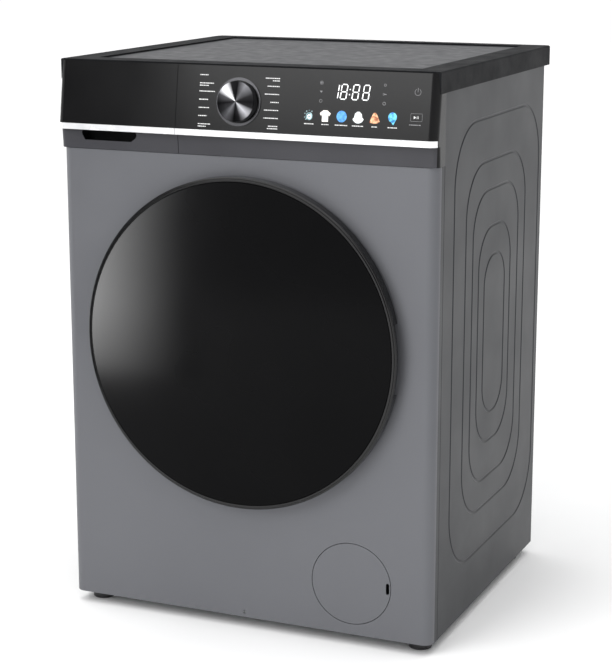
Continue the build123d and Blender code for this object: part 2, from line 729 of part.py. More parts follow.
with BuildPart() as dispenser_housing:
    shell_wall = 2.0
    block(*housing_x, 34, housing_end, *housing_z)
    block(housing_x[0] + shell_wall, housing_x[1] - shell_wall, 33, housing_end - shell_wall,
          housing_z[0] + shell_wall, housing_z[1] - shell_wall, mode=Mode.SUBTRACT)
    post((housing_x[0] + housing_x[1]) / 2, housing_end - 60, 16, housing_z[0] - 8, housing_z[0])
    # rails that carry the tray
    for x in (tray_x[0], tray_x[1]):
        block(x - 2 if x == tray_x[0] else x - 8, x + 8 if x == tray_x[0] else x + 2, 34, 120,
              housing_z[0] + 1, tray_z[0] - 0.3)
save(dispenser_housing, "dispenser_housing")

# ---------------------------------------------------------------- top frame and worktop
rail_low = 806.0
hanger_x = 277.0
hanger_deep = 215.0

with BuildPart() as top_frame:
    block(-inner_half, inner_half, 34, 62, rail_low, worktop_bottom)
    block(-inner_half, inner_half, 470, 502, rail_low, worktop_bottom)
    for side in (-1, 1):
        x0, x1 = sorted((side * (inner_half - 3), side * (inner_half - 26)))
        block(x0, x1, 40, 490, rail_low, worktop_bottom)
        # hook the suspension spring hangs from
        x = side * hanger_x
        block(x - 8, x + 8, hanger_deep - 3, hanger_deep + 3, rail_low - 14, rail_low)
        with BuildSketch(at_depth(hanger_deep - 4)) as eye:
            with Locations((x, rail_low - 8)):
                Circle(4)
        extrude(eye.sketch, amount=-8, mode=Mode.SUBTRACT)
save(top_frame, "top_frame")

top_front = slope_top[0] + 3.0
board_x = 256.0
board_deep = (45.0, 512.0)
board_drop = 2.5
ledge = 12.0

with BuildPart() as worktop_frame:
    block(-half_width, half_width, top_front, worktop_back, worktop_bottom, height)
    back_corners = worktop_frame.edges().filter_by(Axis.Z)
    fillet(back_corners.filter_by(lambda e: (e @ 0.5).Y > front_y + 400), 12)
    top_rim = worktop_frame.faces().sort_by(Axis.Z)[-1].edges()
    fillet(top_rim.filter_by(lambda e: (e @ 0.5).Y > front_y + 10), 2.5)
    block(-79, 290, 0, 21, worktop_bottom - 1, height - 5, mode=Mode.SUBTRACT)
    block(-board_x, board_x, *board_deep, worktop_bottom + 12, height + 1, mode=Mode.SUBTRACT)
    block(-board_x + ledge, board_x - ledge, board_deep[0] + ledge, board_deep[1] - ledge,
          worktop_bottom - 1, height, mode=Mode.SUBTRACT)
save(worktop_frame, "worktop_frame")

with BuildPart() as worktop_board:
    fit = 0.2
    block(-board_x + fit, board_x - fit, board_deep[0] + fit, board_deep[1] - fit,
          worktop_bottom + 12, height - board_drop)
save(worktop_board, "worktop_board")

# ---------------------------------------------------------------- rear of the cabinet
rear_half = 290.0
service_radius = 165.0  # round service opening behind the pulley
inlet = (-175.0, 762.0)  # water inlet
inlet_radius = 13.0
spout = (232.0, 140.0)  # drain spout
spout_radius = 11.0
gland = (-232.0, 140.0)  # where the mains cord enters
gland_radius = 12.0
transit_places = [(-190.0, 640.0), (190.0, 640.0), (-190.0, 250.0), (190.0, 250.0)]
transit_radius = 15.0

with BuildPart() as rear_panel:
    block(-rear_half, rear_half, cabinet_depth, cabinet_depth + sheet, side_bottom, worktop_bottom - 0.3)
    rod(0, drum_z, service_radius, cabinet_depth - 1, cabinet_depth + 2, mode=Mode.SUBTRACT)
    for place, radius in ((inlet, inlet_radius + 3), (spout, spout_radius + 3), (gland, gland_radius)):
        rod(*place, radius, cabinet_depth - 1, cabinet_depth + 2, mode=Mode.SUBTRACT)
    for place in transit_places:
        rod(*place, transit_radius - 3, cabinet_depth - 1, cabinet_depth + 2, mode=Mode.SUBTRACT)
save(rear_panel, "rear_panel")

with BuildPart() as rear_cover:
    back = cabinet_depth + sheet
    turned([(0, back + 14), (120, back + 14), (150, back), (service_radius + 14, back),
            (service_radius + 14, back + 1.2), (150.4, back + 1.2), (120.4, back + 15.2), (0, back + 15.2)])
    for radius in (60.0, 90.0):
        turned([(radius, back + 15), (radius + 6, back + 15), (radius + 6, back + 17), (radius, back + 17)])
save(rear_cover, "rear_cover")

with BuildPart() as transit_caps:
    for x, z in transit_places:
        rod(x, z, transit_radius - 3.2, cabinet_depth, cabinet_depth + sheet)
        rod(x, z, transit_radius, cabinet_depth + sheet, cabinet_depth + sheet + 2.5)
save(transit_caps, "transit_bolt_caps")

with BuildPart() as cabinet_screws:
    for x in (-245.0, -190.0):
        for z in (drum_z - 32, drum_z + 32):
            rod(x, z, 4, sheet + 3, sheet + 5.2)
    for x in (-282.0, 282.0):
        for z in (60.0, 250.0, 440.0, 630.0, 800.0):
            rod(x, z, 4, cabinet_depth + sheet, cabinet_depth + sheet + 2.2)
    for angle in range(0, 360, 60):
        x = (service_radius + 7) * cos(radians(angle))
        z = drum_z + (service_radius + 7) * sin(radians(angle))
        rod(x, z, 4, cabinet_depth + sheet + 1.2, cabinet_depth + sheet + 3.4)
save(cabinet_screws, "cabinet_screws")

with BuildPart() as inlet_valve:
    x, z = inlet
    block(x - 22, x + 22, 440, cabinet_depth, z - 22, z + 22)
    rod(x, z, inlet_radius, cabinet_depth, cabinet_depth + 20)
    rod(x, z, inlet_radius - 4, cabinet_depth - 6, cabinet_depth + 21, mode=Mode.SUBTRACT)
    post(x, 462, 14, z + 22, z + 40)
    rod(x, z - 6, 6, 420, 440)
save(inlet_valve, "inlet_valve")

with BuildPart() as drain_spout:
    x, z = spout
    block(x - 22, x + 22, cabinet_depth - 4, cabinet_depth, z - 22, z + 22)
    rod(x, z, spout_radius - 1, cabinet_depth - 30, cabinet_depth + sheet)
    rod(x, z, spout_radius, cabinet_depth + sheet, cabinet_depth + 24)
    rod(x, z, spout_radius - 2.5, cabinet_depth - 31, cabinet_depth + 25, mode=Mode.SUBTRACT)
save(drain_spout, "drain_spout")

with BuildPart() as cord_gland:
    x, z = gland
    rod(x, z, gland_radius + 4, cabinet_depth - 4, cabinet_depth)
    rod(x, z, gland_radius - 0.3, cabinet_depth, cabinet_depth + 8)
    rod(x, z, 4.5, cabinet_depth - 5, cabinet_depth + 9, mode=Mode.SUBTRACT)
save(cord_gland, "cord_gland")

# ---------------------------------------------------------------- suspended tub
tub_front_deep = 70.0
tub_split = 200.0
tub_back = 368.0
mouth_inner = 170.0
mouth_front = 52.0
flange_out = 9.0
hub_radius = 36.0
bearing_radius = 26.0
hub_back = 416.0
shaft = 12.5
ear_z = 596.0
spring_radius = 8.0
spring_wire = 1.6
tub_inner = tub_radius - tub_wall
motor = (60.0, 105.0)
motor_radius = 58.0
motor_deep = (250.0, 392.0)
damper_rod = 9.0
damper_top = 238.0

with BuildPart() as tub_front:
    turned([(mouth_inner, mouth_front), (mouth_inner + tub_wall, mouth_front),
            (mouth_inner + tub_wall, tub_front_deep), (tub_radius - 12, tub_front_deep),
            (tub_radius, tub_front_deep + 12), (tub_radius, tub_split - 6),
            (tub_radius + flange_out, tub_split - 6), (tub_radius + flange_out, tub_split),
            (tub_inner, tub_split), (tub_inner, tub_front_deep + 13),
            (tub_inner - 9, tub_front_deep + tub_wall), (mouth_inner, tub_front_deep + tub_wall)])
save(tub_front, "tub_front")


def make_tub_rear():
    back = tub_back
    with BuildPart() as tub:
        turned([(tub_inner, tub_split), (tub_radius + flange_out, tub_split),
                (tub_radius + flange_out, tub_split + 6), (tub_radius, tub_split + 6), (tub_radius, back),
                (hub_radius, back), (hub_radius, hub_back), (bearing_radius, hub_back),
                (bearing_radius, back - tub_wall), (tub_inner, back - tub_wall)])
        for angle in range(0, 360, 30):  # stiffening ribs behind the tub
            with BuildSketch(at_depth(back)) as rib:
                with Locations(Location((0, drum_z), angle + 15)):
                    with Locations((140, 0)):
                        Rectangle(220, 4)
            extrude(rib.sketch, amount=-18)
        for side in (-1, 1):
            x0, x1 = sorted((side * 190, side * (hanger_x + 7)))
            block(x0, x1, hanger_deep - 8, hanger_deep + 8, ear_z - 10, ear_z)
            # dampers bolt on below
            block(side * damper_x - 14, side * damper_x + 14, damper_deep - 14, damper_deep + 14,
                  damper_top, drum_z - sqrt(tub_radius**2 - (damper_x - 14) ** 2) + 4)
        for deep in (motor_deep[0] + 12, motor_deep[1] - 34):
            block(motor[0] - 34, motor[0] + 34, deep, deep + 16, motor[1] + 40, 205)
        rod(*motor, motor_radius, motor_deep[0] - 1, motor_deep[1] + 1, mode=Mode.SUBTRACT)
        rod(0, drum_z, tub_inner, tub_split - 1, back - tub_wall, mode=Mode.SUBTRACT)
        for side in (-1, 1):
            post(side * hanger_x, hanger_deep, 3, ear_z - 20, ear_z + 2, mode=Mode.SUBTRACT)
    return tub


save(make_tub_rear(), "tub_rear")

with BuildPart() as gasket:
    with BuildSketch(axis_plane(0, drum_z)) as bellows:
        with BuildLine():
            Polyline((149.5, 9), (154, 5), (162.5, 3), (163, 17), (180, 22), (161, 33), (178, 42),
                     (176.2, 60))
        trace(line_width=2.6)
    revolve(bellows.sketch, axis=front_axis(0, drum_z))
save(gasket, "door_gasket")

with BuildPart() as counterweights:
    turned([(188, 42), (240, 42), (246, 46), (246, tub_front_deep), (188, tub_front_deep)])
    block(-300, 300, 30, 90, drum_z - 60, 800, mode=Mode.SUBTRACT)
    block(-40, 232, 80, 190, drum_z + 120, 742)
    rod(0, drum_z, tub_radius, tub_front_deep, 200, mode=Mode.SUBTRACT)
    for x in (20.0, 150.0):
        post(x, 135, 8, 736, 744, mode=Mode.SUBTRACT)
save(counterweights, "counterweights")

with BuildPart() as bearings:
    for deep in (373.0, 400.0):
        turned([(shaft + running, deep), (bearing_radius, deep), (bearing_radius, deep + 14),
                (shaft + running, deep + 14)])
save(bearings, "drum_bearings")

with BuildPart() as heater:
    for angle in (-96, -84):
        x = 246 * cos(radians(angle))
        z = drum_z + 246 * sin(radians(angle))
        rod(x, z, 3.5, 190, tub_back - tub_wall)
    z = drum_z - 246
    block(-25, 25, 190, 197, z - 2, z + 4)
save(heater, "heater")

with BuildPart() as motor_stator:
    rod(*motor, motor_radius, *motor_deep)
    rod(*motor, 36, motor_deep[0] + 10, motor_deep[1] - 10, mode=Mode.SUBTRACT)
    rod(*motor, 6 + running, motor_deep[0] - 1, motor_deep[1] + 1, mode=Mode.SUBTRACT)
save(motor_stator, "motor_stator")

with BuildPart() as damper_rods:
    for side in (-1, 1):
        post(side * damper_x, damper_deep, damper_rod, 70, damper_top)
save(damper_rods, "damper_rods")

with BuildPart() as damper_cylinders:
    for side in (-1, 1):
        post(side * damper_x, damper_deep, damper_rod + 5, damper_foot, 160)
        post(side * damper_x, damper_deep, damper_rod + running, damper_foot + 8, 161, mode=Mode.SUBTRACT)
save(damper_cylinders, "damper_cylinders")


def make_spring(side):
    """One suspension spring: a coil between the tub's ear and the hanger."""
    x = side * hanger_x
    bottom = ear_z + spring_wire + 0.1
    top = rail_low - 14 - spring_wire - 0.1
    turns = 13
    with BuildPart() as spring:
        with BuildLine() as coil:
            Helix((top - bottom) / turns, top - bottom, spring_radius,
                  center=(x, front_y + hanger_deep, bottom))
        start = coil.line @ 0
        with BuildSketch(Plane(start, z_dir=coil.line % 0)) as wire:
            Circle(spring_wire)
        sweep(wire.sketch, path=coil.line)
    return spring


with BuildPart() as springs:
    add(make_spring(-1).part)
    add(make_spring(1).part)
save(springs, "suspension_springs")

# ---------------------------------------------------------------- drum
drum_front = 82.0
drum_back = 338.0
drum_mouth = 146.0
spider_deep = (drum_back, 354.0)
pulley_deep = (430.0, 446.0)
pulley_radius = 140.0
motor_pulley = 9.5
belt_thick = 3.0
rotor_radius = 35.4

with BuildPart() as drum_shell:
    turned([(drum_mouth, drum_front + 6), (drum_mouth + 6, drum_front), (222, drum_front),
            (drum_radius, drum_front + 14), (drum_radius, drum_back), (drum_radius - drum_sheet, drum_back),
            (drum_radius - drum_sheet, drum_front + 14.5), (221.5, drum_front + 1),
            (drum_mouth + 6.5, drum_front + 1), (drum_mouth + 1, drum_front + 6.5),
            (drum_mouth + 1, drum_front + 12), (drum_mouth, drum_front + 12)])
save(drum_shell, "drum_shell")

with BuildPart() as drum_end:
    turned([(0, drum_back - 14), (90, drum_back - 14), (150, drum_back - 1),
            (drum_radius - drum_sheet, drum_back - 1),
            (drum_radius - drum_sheet, drum_back), (149.8, drum_back), (89.8, drum_back - 13),
            (0, drum_back - 13)])
save(drum_end, "drum_back")


def polar(radius, angle):
    return (radius * cos(radians(angle)), radius * sin(radians(angle)))


def radial_prism(points, angle, deep0, deep1):
    """A prism about the drum's axis; its (outward, sideways) outline is turned to this angle."""
    ca, sa = cos(radians(angle)), sin(radians(angle))
    with BuildSketch(at_depth(deep0)) as outline:
        with BuildLine():
            Polyline([(u * ca - v * sa, drum_z + u * sa + v * ca) for u, v in points], close=True)
        make_face()
    extrude(outline.sketch, amount=-(deep1 - deep0))


with BuildPart() as lifters:
    for angle in (90, 210, 330):
        reach = drum_radius - drum_sheet - 2.3
        radial_prism([(reach, -30), (206, -10), (200, 0), (206, 10), (reach, 30), (reach + 2.2, 0)],
                     angle, 115, 315)
save(lifters, "drum_lifters")

with BuildPart() as spider:
    rod(0, drum_z, 34, drum_back - 12.9, spider_deep[1])
    for angle in (30, 150, 270):
        radial_prism([(0, -24), (232, -13), (232, 13), (0, 24)], angle, *spider_deep)
save(spider, "drum_spider")

with BuildPart() as drum_shaft:
    rod(0, drum_z, shaft, spider_deep[1], pulley_deep[1] + 2)
save(drum_shaft, "drum_shaft")

with BuildPart() as pulley:
    rod(0, drum_z, pulley_radius, *pulley_deep)
    rod(0, drum_z, pulley_radius - 12, pulley_deep[0] + 4, pulley_deep[1] + 1, mode=Mode.SUBTRACT)
    rod(0, drum_z, 24, *pulley_deep)
    for angle in range(0, 360, 60):
        x, z = polar(80, angle)
        rod(x, drum_z + z, 30, pulley_deep[0] - 1, pulley_deep[1] + 1, mode=Mode.SUBTRACT)
    rod(0, drum_z, shaft, pulley_deep[0] - 1, pulley_deep[1] + 1, mode=Mode.SUBTRACT)
save(pulley, "drum_pulley")

# ---------------------------------------------------------------- belt and motor rotor
with BuildPart() as rotor:
    rod(*motor, 6, motor_deep[0] - 4, pulley_deep[1] + 2)
    rod(*motor, rotor_radius - 1, motor_deep[0] + 14, motor_deep[1] - 14)
    rod(*motor, motor_pulley, *pulley_deep)
save(rotor, "motor_rotor")


def belt_outline(extra):
    """The belt's loop as a face, out from both pulleys by extra."""
    big, small = pulley_radius + extra, motor_pulley + extra
    dx, dz = motor[0], motor[1] - drum_z
    span = sqrt(dx**2 + dz**2)
    along = atan2(dz, dx)
    lean = acos((big - small) / span)
    a, b = along + lean, along - lean
    with BuildSketch(at_depth(pulley_deep[0] + 2)) as loop:
        with Locations((0, drum_z)):
            Circle(big)
        with Locations(motor):
            Circle(small)
        with BuildLine():
            Polyline((big * cos(a), drum_z + big * sin(a)),
                     (motor[0] + small * cos(a), motor[1] + small * sin(a)),
                     (motor[0] + small * cos(b), motor[1] + small * sin(b)),
                     (big * cos(b), drum_z + big * sin(b)), close=True)
        make_face()
    return loop.sketch


with BuildPart() as belt:
    extrude(belt_outline(soft_gap + belt_thick), amount=-12)
    extrude(belt_outline(soft_gap), amount=-12, mode=Mode.SUBTRACT)
save(belt, "drive_belt")
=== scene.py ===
# %% [markdown]
# # A slim front load washing machine
# The solid parts come in from the CAD model and stay where they are.
# This script gives every part its finish, swaps a few turned parts for smoother or finer
# ones, prints the marks on the control panel, and sets up a pale studio.
# Lengths are in metres. X runs right, Y runs back and Z runs up, with the floor at Z = 0.

import math

import bmesh
import bpy
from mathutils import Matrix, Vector


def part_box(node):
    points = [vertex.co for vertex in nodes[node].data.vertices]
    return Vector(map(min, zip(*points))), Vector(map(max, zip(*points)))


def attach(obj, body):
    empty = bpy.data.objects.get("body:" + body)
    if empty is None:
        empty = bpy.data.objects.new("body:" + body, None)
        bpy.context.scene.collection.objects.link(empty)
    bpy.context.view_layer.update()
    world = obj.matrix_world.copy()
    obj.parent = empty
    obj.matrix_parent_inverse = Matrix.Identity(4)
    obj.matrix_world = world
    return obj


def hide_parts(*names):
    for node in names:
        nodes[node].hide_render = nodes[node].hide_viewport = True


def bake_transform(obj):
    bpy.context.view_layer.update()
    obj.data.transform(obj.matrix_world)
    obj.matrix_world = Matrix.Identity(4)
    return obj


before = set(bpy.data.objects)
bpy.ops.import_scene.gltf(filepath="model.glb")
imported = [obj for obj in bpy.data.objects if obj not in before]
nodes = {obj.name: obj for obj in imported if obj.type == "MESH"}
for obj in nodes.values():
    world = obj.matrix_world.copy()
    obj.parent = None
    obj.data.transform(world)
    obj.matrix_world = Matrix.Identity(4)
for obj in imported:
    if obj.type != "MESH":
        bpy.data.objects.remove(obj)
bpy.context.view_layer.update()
print("CAD nodes:", len(nodes))

MM = 0.001
FRONT = -0.2525  # y of the front panel's face
AXIS_Z = 0.445  # height of the drum's axis

# %% [markdown]
# ## Helpers for materials
# Colours are written as the sRGB values a colour picker shows. Blender mixes light in linear
# values, so one function turns them over. Another adds a shader node with its settings and
# links in one line, which keeps each material short enough to read.

# %% Colour and node helpers
def linear(code):
    """Linear RGBA for an sRGB hex code."""
    channels = [int(code[i:i + 2], 16) / 255 for i in (1, 3, 5)]
    return [c / 12.92 if c <= 0.04045 else ((c + 0.055) / 1.055) ** 2.4 for c in channels] + [1.0]


def add(tree, kind, settings=None, **inputs):
    """A node of this kind. Inputs are values or (node, output) pairs, by socket name or as i0, i1."""
    made = tree.nodes.new(kind)
    for name, value in (settings or {}).items():
        setattr(made, name, value)
    for name, value in inputs.items():
        key = int(name[1:]) if name[0] == "i" and name[1:].isdigit() else name.replace("_", " ")
        socket = made.inputs[key]
        if isinstance(value, tuple) and hasattr(value[0], "outputs"):
            tree.links.new(value[0].outputs[value[1]], socket)
        else:
            socket.default_value = value
    return made


def new_material(name):
    """An empty material and its tree, with a shader and an output already joined."""
    made = bpy.data.materials.new(name)
    made.use_nodes = True
    tree = made.node_tree
    tree.nodes.clear()
    shader = tree.nodes.new("ShaderNodeBsdfPrincipled")
    out = tree.nodes.new("ShaderNodeOutputMaterial")
    tree.links.new(shader.outputs["BSDF"], out.inputs["Surface"])
    return made, tree, shader


def ramp(tree, source, stops, output="Fac"):
    """A colour ramp from (position, hex) stops."""
    made = tree.nodes.new("ShaderNodeValToRGB")
    band = made.color_ramp.elements
    band[0].position, band[0].color = stops[0][0], linear(stops[0][1])
    band[1].position, band[1].color = stops[-1][0], linear(stops[-1][1])
    for position, code in stops[1:-1]:
        band.new(position).color = linear(code)
    tree.links.new(source.outputs[output], made.inputs["Fac"])
    return made


def join(tree, source, output, target, socket):
    tree.links.new(source.outputs[output], target.inputs[socket])


def mottled(name, dark, light, scale, rough, metallic=0.0, grain=0.0, grain_scale=900.0, coat=0.0,
            coat_rough=0.1, rough_spread=0.06, spec=0.5):
    """A surface whose colour and gloss wander a little, with a fine grain in its bump.

    scale and grain_scale are in cells per metre, so 900 gives a grain just over a millimetre wide.
    """
    made, tree, shader = new_material(name)
    place = add(tree, "ShaderNodeTexCoord")
    drift = add(tree, "ShaderNodeTexNoise", Vector=(place, "Object"), Scale=scale, Detail=3.0)
    colour = ramp(tree, drift, [(0.35, dark), (0.65, light)])
    join(tree, colour, "Color", shader, "Base Color")
    smear = add(tree, "ShaderNodeTexNoise", Vector=(place, "Object"), Scale=scale * 2.3, Detail=4.0)
    gloss = add(tree, "ShaderNodeMapRange", Value=(smear, "Fac"), From_Min=0.3, From_Max=0.7,
                To_Min=max(0.02, rough - rough_spread), To_Max=rough + rough_spread)
    join(tree, gloss, "Result", shader, "Roughness")
    shader.inputs["Metallic"].default_value = metallic
    if not metallic:
        shader.inputs["Specular IOR Level"].default_value = spec
    shader.inputs["Coat Weight"].default_value = coat
    shader.inputs["Coat Roughness"].default_value = coat_rough
    if grain:
        speck = add(tree, "ShaderNodeTexNoise", Vector=(place, "Object"), Scale=grain_scale, Detail=2.0)
        bump = add(tree, "ShaderNodeBump", Height=(speck, "Fac"), Strength=grain, Distance=0.0002)
        join(tree, bump, "Normal", shader, "Normal")
    return made


# %% [markdown]
# ## Painted sheet steel
# The cabinet is pressed from steel sheet and powder coated in a dark silver grey. A metallic
# powder has fine flakes under a clear binder. It is shown here as a half metallic base with a
# small sparkle, an even satin gloss and the slight ripple that baked powder has.

# %% Metallic powder coat
def powder_coat(name, dark, light, rough=0.42):
    made, tree, shader = new_material(name)
    place = add(tree, "ShaderNodeTexCoord")
    drift = add(tree, "ShaderNodeTexNoise", Vector=(place, "Object"), Scale=3.0, Detail=2.0)
    base = ramp(tree, drift, [(0.3, dark), (0.7, light)])
    flakes = add(tree, "ShaderNodeTexVoronoi", Vector=(place, "Object"), Scale=2600.0)
    glint = add(tree, "ShaderNodeMapRange", Value=(flakes, "Distance"), From_Min=0.0, From_Max=0.6,
                To_Min=1.08, To_Max=0.95)
    lift = add(tree, "ShaderNodeMix", {"data_type": "RGBA", "blend_type": "MULTIPLY"}, Factor=1.0)
    tree.links.new(base.outputs["Color"], lift.inputs[6])
    tree.links.new(glint.outputs["Result"], lift.inputs[7])
    tree.links.new(lift.outputs[2], shader.inputs["Base Color"])
    shader.inputs["Metallic"].default_value = 0.35
    shader.inputs["Specular IOR Level"].default_value = 0.25
    smear = add(tree, "ShaderNodeTexNoise", Vector=(place, "Object"), Scale=9.0, Detail=3.0)
    gloss = add(tree, "ShaderNodeMapRange", Value=(smear, "Fac"), From_Min=0.3, From_Max=0.7,
                To_Min=rough - 0.04, To_Max=rough + 0.04)
    join(tree, gloss, "Result", shader, "Roughness")
    ripple = add(tree, "ShaderNodeTexNoise", Vector=(place, "Object"), Scale=700.0, Detail=1.0)
    bump = add(tree, "ShaderNodeBump", Height=(ripple, "Fac"), Strength=0.12, Distance=0.00015)
    join(tree, bump, "Normal", shader, "Normal")
    return made


# The sides wear the same paint as the front. Their copy is painted much darker: painted shade for the sides
# that face away from the light.
side_paint_painted_shade = powder_coat("powder_coated_steel_side_painted_shade", "#2f3033", "#333437")
front_silver = powder_coat("powder_coated_steel_front", "#66676b", "#6a6b6f")

# %% [markdown]
# ## Zinc coated sheet
# The back, the base tray and the frame inside are bare hot dip galvanised sheet. Zinc freezes
# into large flat crystals, the spangle, so a coarse cell pattern changes its grey and gloss.

# %% Galvanised sheet
def galvanised_sheet():
    made, tree, shader = new_material("galvanised_sheet")
    place = add(tree, "ShaderNodeTexCoord")
    cells = add(tree, "ShaderNodeTexVoronoi", Vector=(place, "Object"), Scale=90.0)
    grey = ramp(tree, cells, [(0.0, "#8b8e90"), (1.0, "#a7aaab")], "Color")
    join(tree, grey, "Color", shader, "Base Color")
    gloss = add(tree, "ShaderNodeMapRange", Value=(cells, "Color"), To_Min=0.34, To_Max=0.5)
    join(tree, gloss, "Result", shader, "Roughness")
    shader.inputs["Metallic"].default_value = 1.0
    return made


galvanised = galvanised_sheet()

# %% [markdown]
# ## Mouldings, board, glass and rubber
# The worktop's rim is grained plastic round a laminated board. The control panel is moulded in
# gloss black. Each of these is a plain material whose gloss and colour wander slightly.

# %% Plastics, board, glass and rubber
worktop_plastic = mottled("grained_moulded_plastic", "#17181a", "#1b1c1e", 14.0, 0.55, grain=0.35,
                          grain_scale=1600.0, spec=0.06)
board_laminate = mottled("laminated_chipboard", "#3a3b3e", "#3e3f42", 25.0, 0.4, grain=0.08,
                         grain_scale=1100.0, spec=0.3)
gloss_black = mottled("gloss_black_moulding", "#0d0d0e", "#101011", 6.0, 0.2, rough_spread=0.02, spec=0.2)
satin_band = mottled("satin_dark_grey_moulding", "#38383c", "#3c3c40", 9.0, 0.36, grain=0.15,
                     grain_scale=1500.0, spec=0.3)
black_plastic = mottled("black_moulded_plastic", "#19191b", "#1f1f21", 20.0, 0.4, grain=0.3,
                        grain_scale=1400.0)
white_plastic = mottled("white_moulded_plastic", "#dcdcd8", "#e6e6e3", 12.0, 0.35, grain=0.1)
grey_plastic = mottled("filled_tub_plastic", "#8d8f92", "#9a9c9f", 25.0, 0.5, grain=0.3)
circuit_board = mottled("solder_masked_board", "#12402a", "#184c33", 120.0, 0.35, grain=0.3)
grey_rubber = mottled("moulded_grey_rubber", "#55565a", "#5e5f63", 30.0, 0.55, grain=0.25, grain_scale=800.0)
black_rubber = mottled("moulded_black_rubber", "#161617", "#1c1c1d", 40.0, 0.6, grain=0.3)
cast_concrete = mottled("cast_concrete", "#7d7a74", "#9a968f", 60.0, 0.85, grain=0.9, grain_scale=500.0)
motor_enamel = mottled("stoved_black_enamel", "#1d1e21", "#26272a", 20.0, 0.38, grain=0.2)
black_glass = mottled("tinted_tempered_glass", "#040405", "#060607", 5.0, 0.16, rough_spread=0.01, spec=0.06)
gloss_rim = mottled("gloss_black_rim_moulding", "#0d0d0e", "#101011", 6.0, 0.18, rough_spread=0.02, spec=0.35)

# %% [markdown]
# ## Bare metals
# Stainless steel for the drum is brushed along one way, so its bump is noise stretched into
# fine lines. Cast and turned parts have a finer, even texture. Chrome is smooth with a trace
# of haze.

# %% Metals
def metal(name, dark, light, rough, stretch=(1.0, 1.0, 1.0), scale=300.0, strength=0.15):
    made, tree, shader = new_material(name)
    place = add(tree, "ShaderNodeTexCoord")
    lay = add(tree, "ShaderNodeMapping", Vector=(place, "Object"), Scale=stretch)
    grain = add(tree, "ShaderNodeTexNoise", Vector=(lay, "Vector"), Scale=scale, Detail=4.0)
    colour = ramp(tree, grain, [(0.3, dark), (0.7, light)])
    join(tree, colour, "Color", shader, "Base Color")
    gloss = add(tree, "ShaderNodeMapRange", Value=(grain, "Fac"), From_Min=0.3, From_Max=0.7,
                To_Min=rough * 0.8, To_Max=rough * 1.2)
    join(tree, gloss, "Result", shader, "Roughness")
    shader.inputs["Metallic"].default_value = 1.0
    bump = add(tree, "ShaderNodeBump", Height=(grain, "Fac"), Strength=strength, Distance=0.0001)
    join(tree, bump, "Normal", shader, "Normal")
    return made


stainless = metal("brushed_stainless_steel", "#a9a9a8", "#bdbdbc", 0.26, (1.0, 14.0, 1.0), 120.0)
# The trim is chromed. Its near-white base colour is partly painted reflection: the chrome's bright look in
# the white studio is laid into its colour.
chrome_trim_painted_reflection = mottled("chromed_moulding_painted_reflection", "#eeeff1", "#f8f8f9", 30.0, 0.24, metallic=0.35, coat=0.5)
turned_steel = metal("turned_steel", "#8f9093", "#a0a1a4", 0.3, (1.0, 12.0, 1.0))
zinc_steel = metal("zinc_plated_steel", "#a3a299", "#b4b3ab", 0.32)
cast_aluminium = metal("die_cast_aluminium", "#9b9c9e", "#aeafb1", 0.45, scale=500.0, strength=0.4)

# %% [markdown]
# ## The knob's spun face
# A cutting tool leaves fine circles on a turned face. Light glints across them in bright wedges
# that meet at the middle. The face is an anisotropic metal whose tangent runs round the knob's
# own axis. Fine rings band its colour, and bright wedges are painted into it round the axis:
# painted highlights that stand in for the glints and turn with the knob.

# %% Spun metal
def spun_metal_painted_glints():
    made, tree, shader = new_material("spun_dark_aluminium_painted_glints")
    place = add(tree, "ShaderNodeUVMap", {"uv_map": "polar"})
    lay = add(tree, "ShaderNodeMapping", Vector=(place, "UV"), Scale=(0.4, 260.0, 1.0))
    rings = add(tree, "ShaderNodeTexNoise", Vector=(lay, "Vector"), Scale=1.0, Detail=3.0)
    split = add(tree, "ShaderNodeSeparateXYZ", Vector=(place, "UV"))
    # Painted highlights: the base colour brightens and darkens in wedges round the knob's axis.
    painted_glint_wedges = ramp(tree, split, [(0.0, "#0d0d0e"), (0.06, "#1b1b1c"), (0.16, "#5a5a5d"), (0.235, "#0d0d0e"),
                                (0.3, "#161617"), (0.375, "#d6d6d9"), (0.44, "#39393b"), (0.52, "#0d0d0e"),
                                (0.6, "#2c2c2e"), (0.66, "#66666a"), (0.745, "#0d0d0e"), (0.8, "#232325"),
                                (0.88, "#98989c"), (0.95, "#19191a"), (1.0, "#0d0d0e")], "X")
    fine = add(tree, "ShaderNodeMapRange", Value=(rings, "Fac"), To_Min=0.8, To_Max=1.15)
    rings_and_painted_glints = add(tree, "ShaderNodeMix", {"data_type": "RGBA", "blend_type": "MULTIPLY"}, Factor=1.0)
    tree.links.new(painted_glint_wedges.outputs["Color"], rings_and_painted_glints.inputs[6])
    tree.links.new(fine.outputs["Result"], rings_and_painted_glints.inputs[7])
    tree.links.new(rings_and_painted_glints.outputs[2], shader.inputs["Base Color"])
    shader.inputs["Metallic"].default_value = 1.0
    shader.inputs["Roughness"].default_value = 0.3
    shader.inputs["Anisotropic"].default_value = 0.9
    round_axis = add(tree, "ShaderNodeTangent", {"direction_type": "UV_MAP", "uv_map": "polar"})
    join(tree, round_axis, "Tangent", shader, "Tangent")
    return made


knob_face_painted_glints = spun_metal_painted_glints()
dark_chrome = metal("dark_chrome_plating", "#3b3b3d", "#454547", 0.2, scale=60.0, strength=0.03)
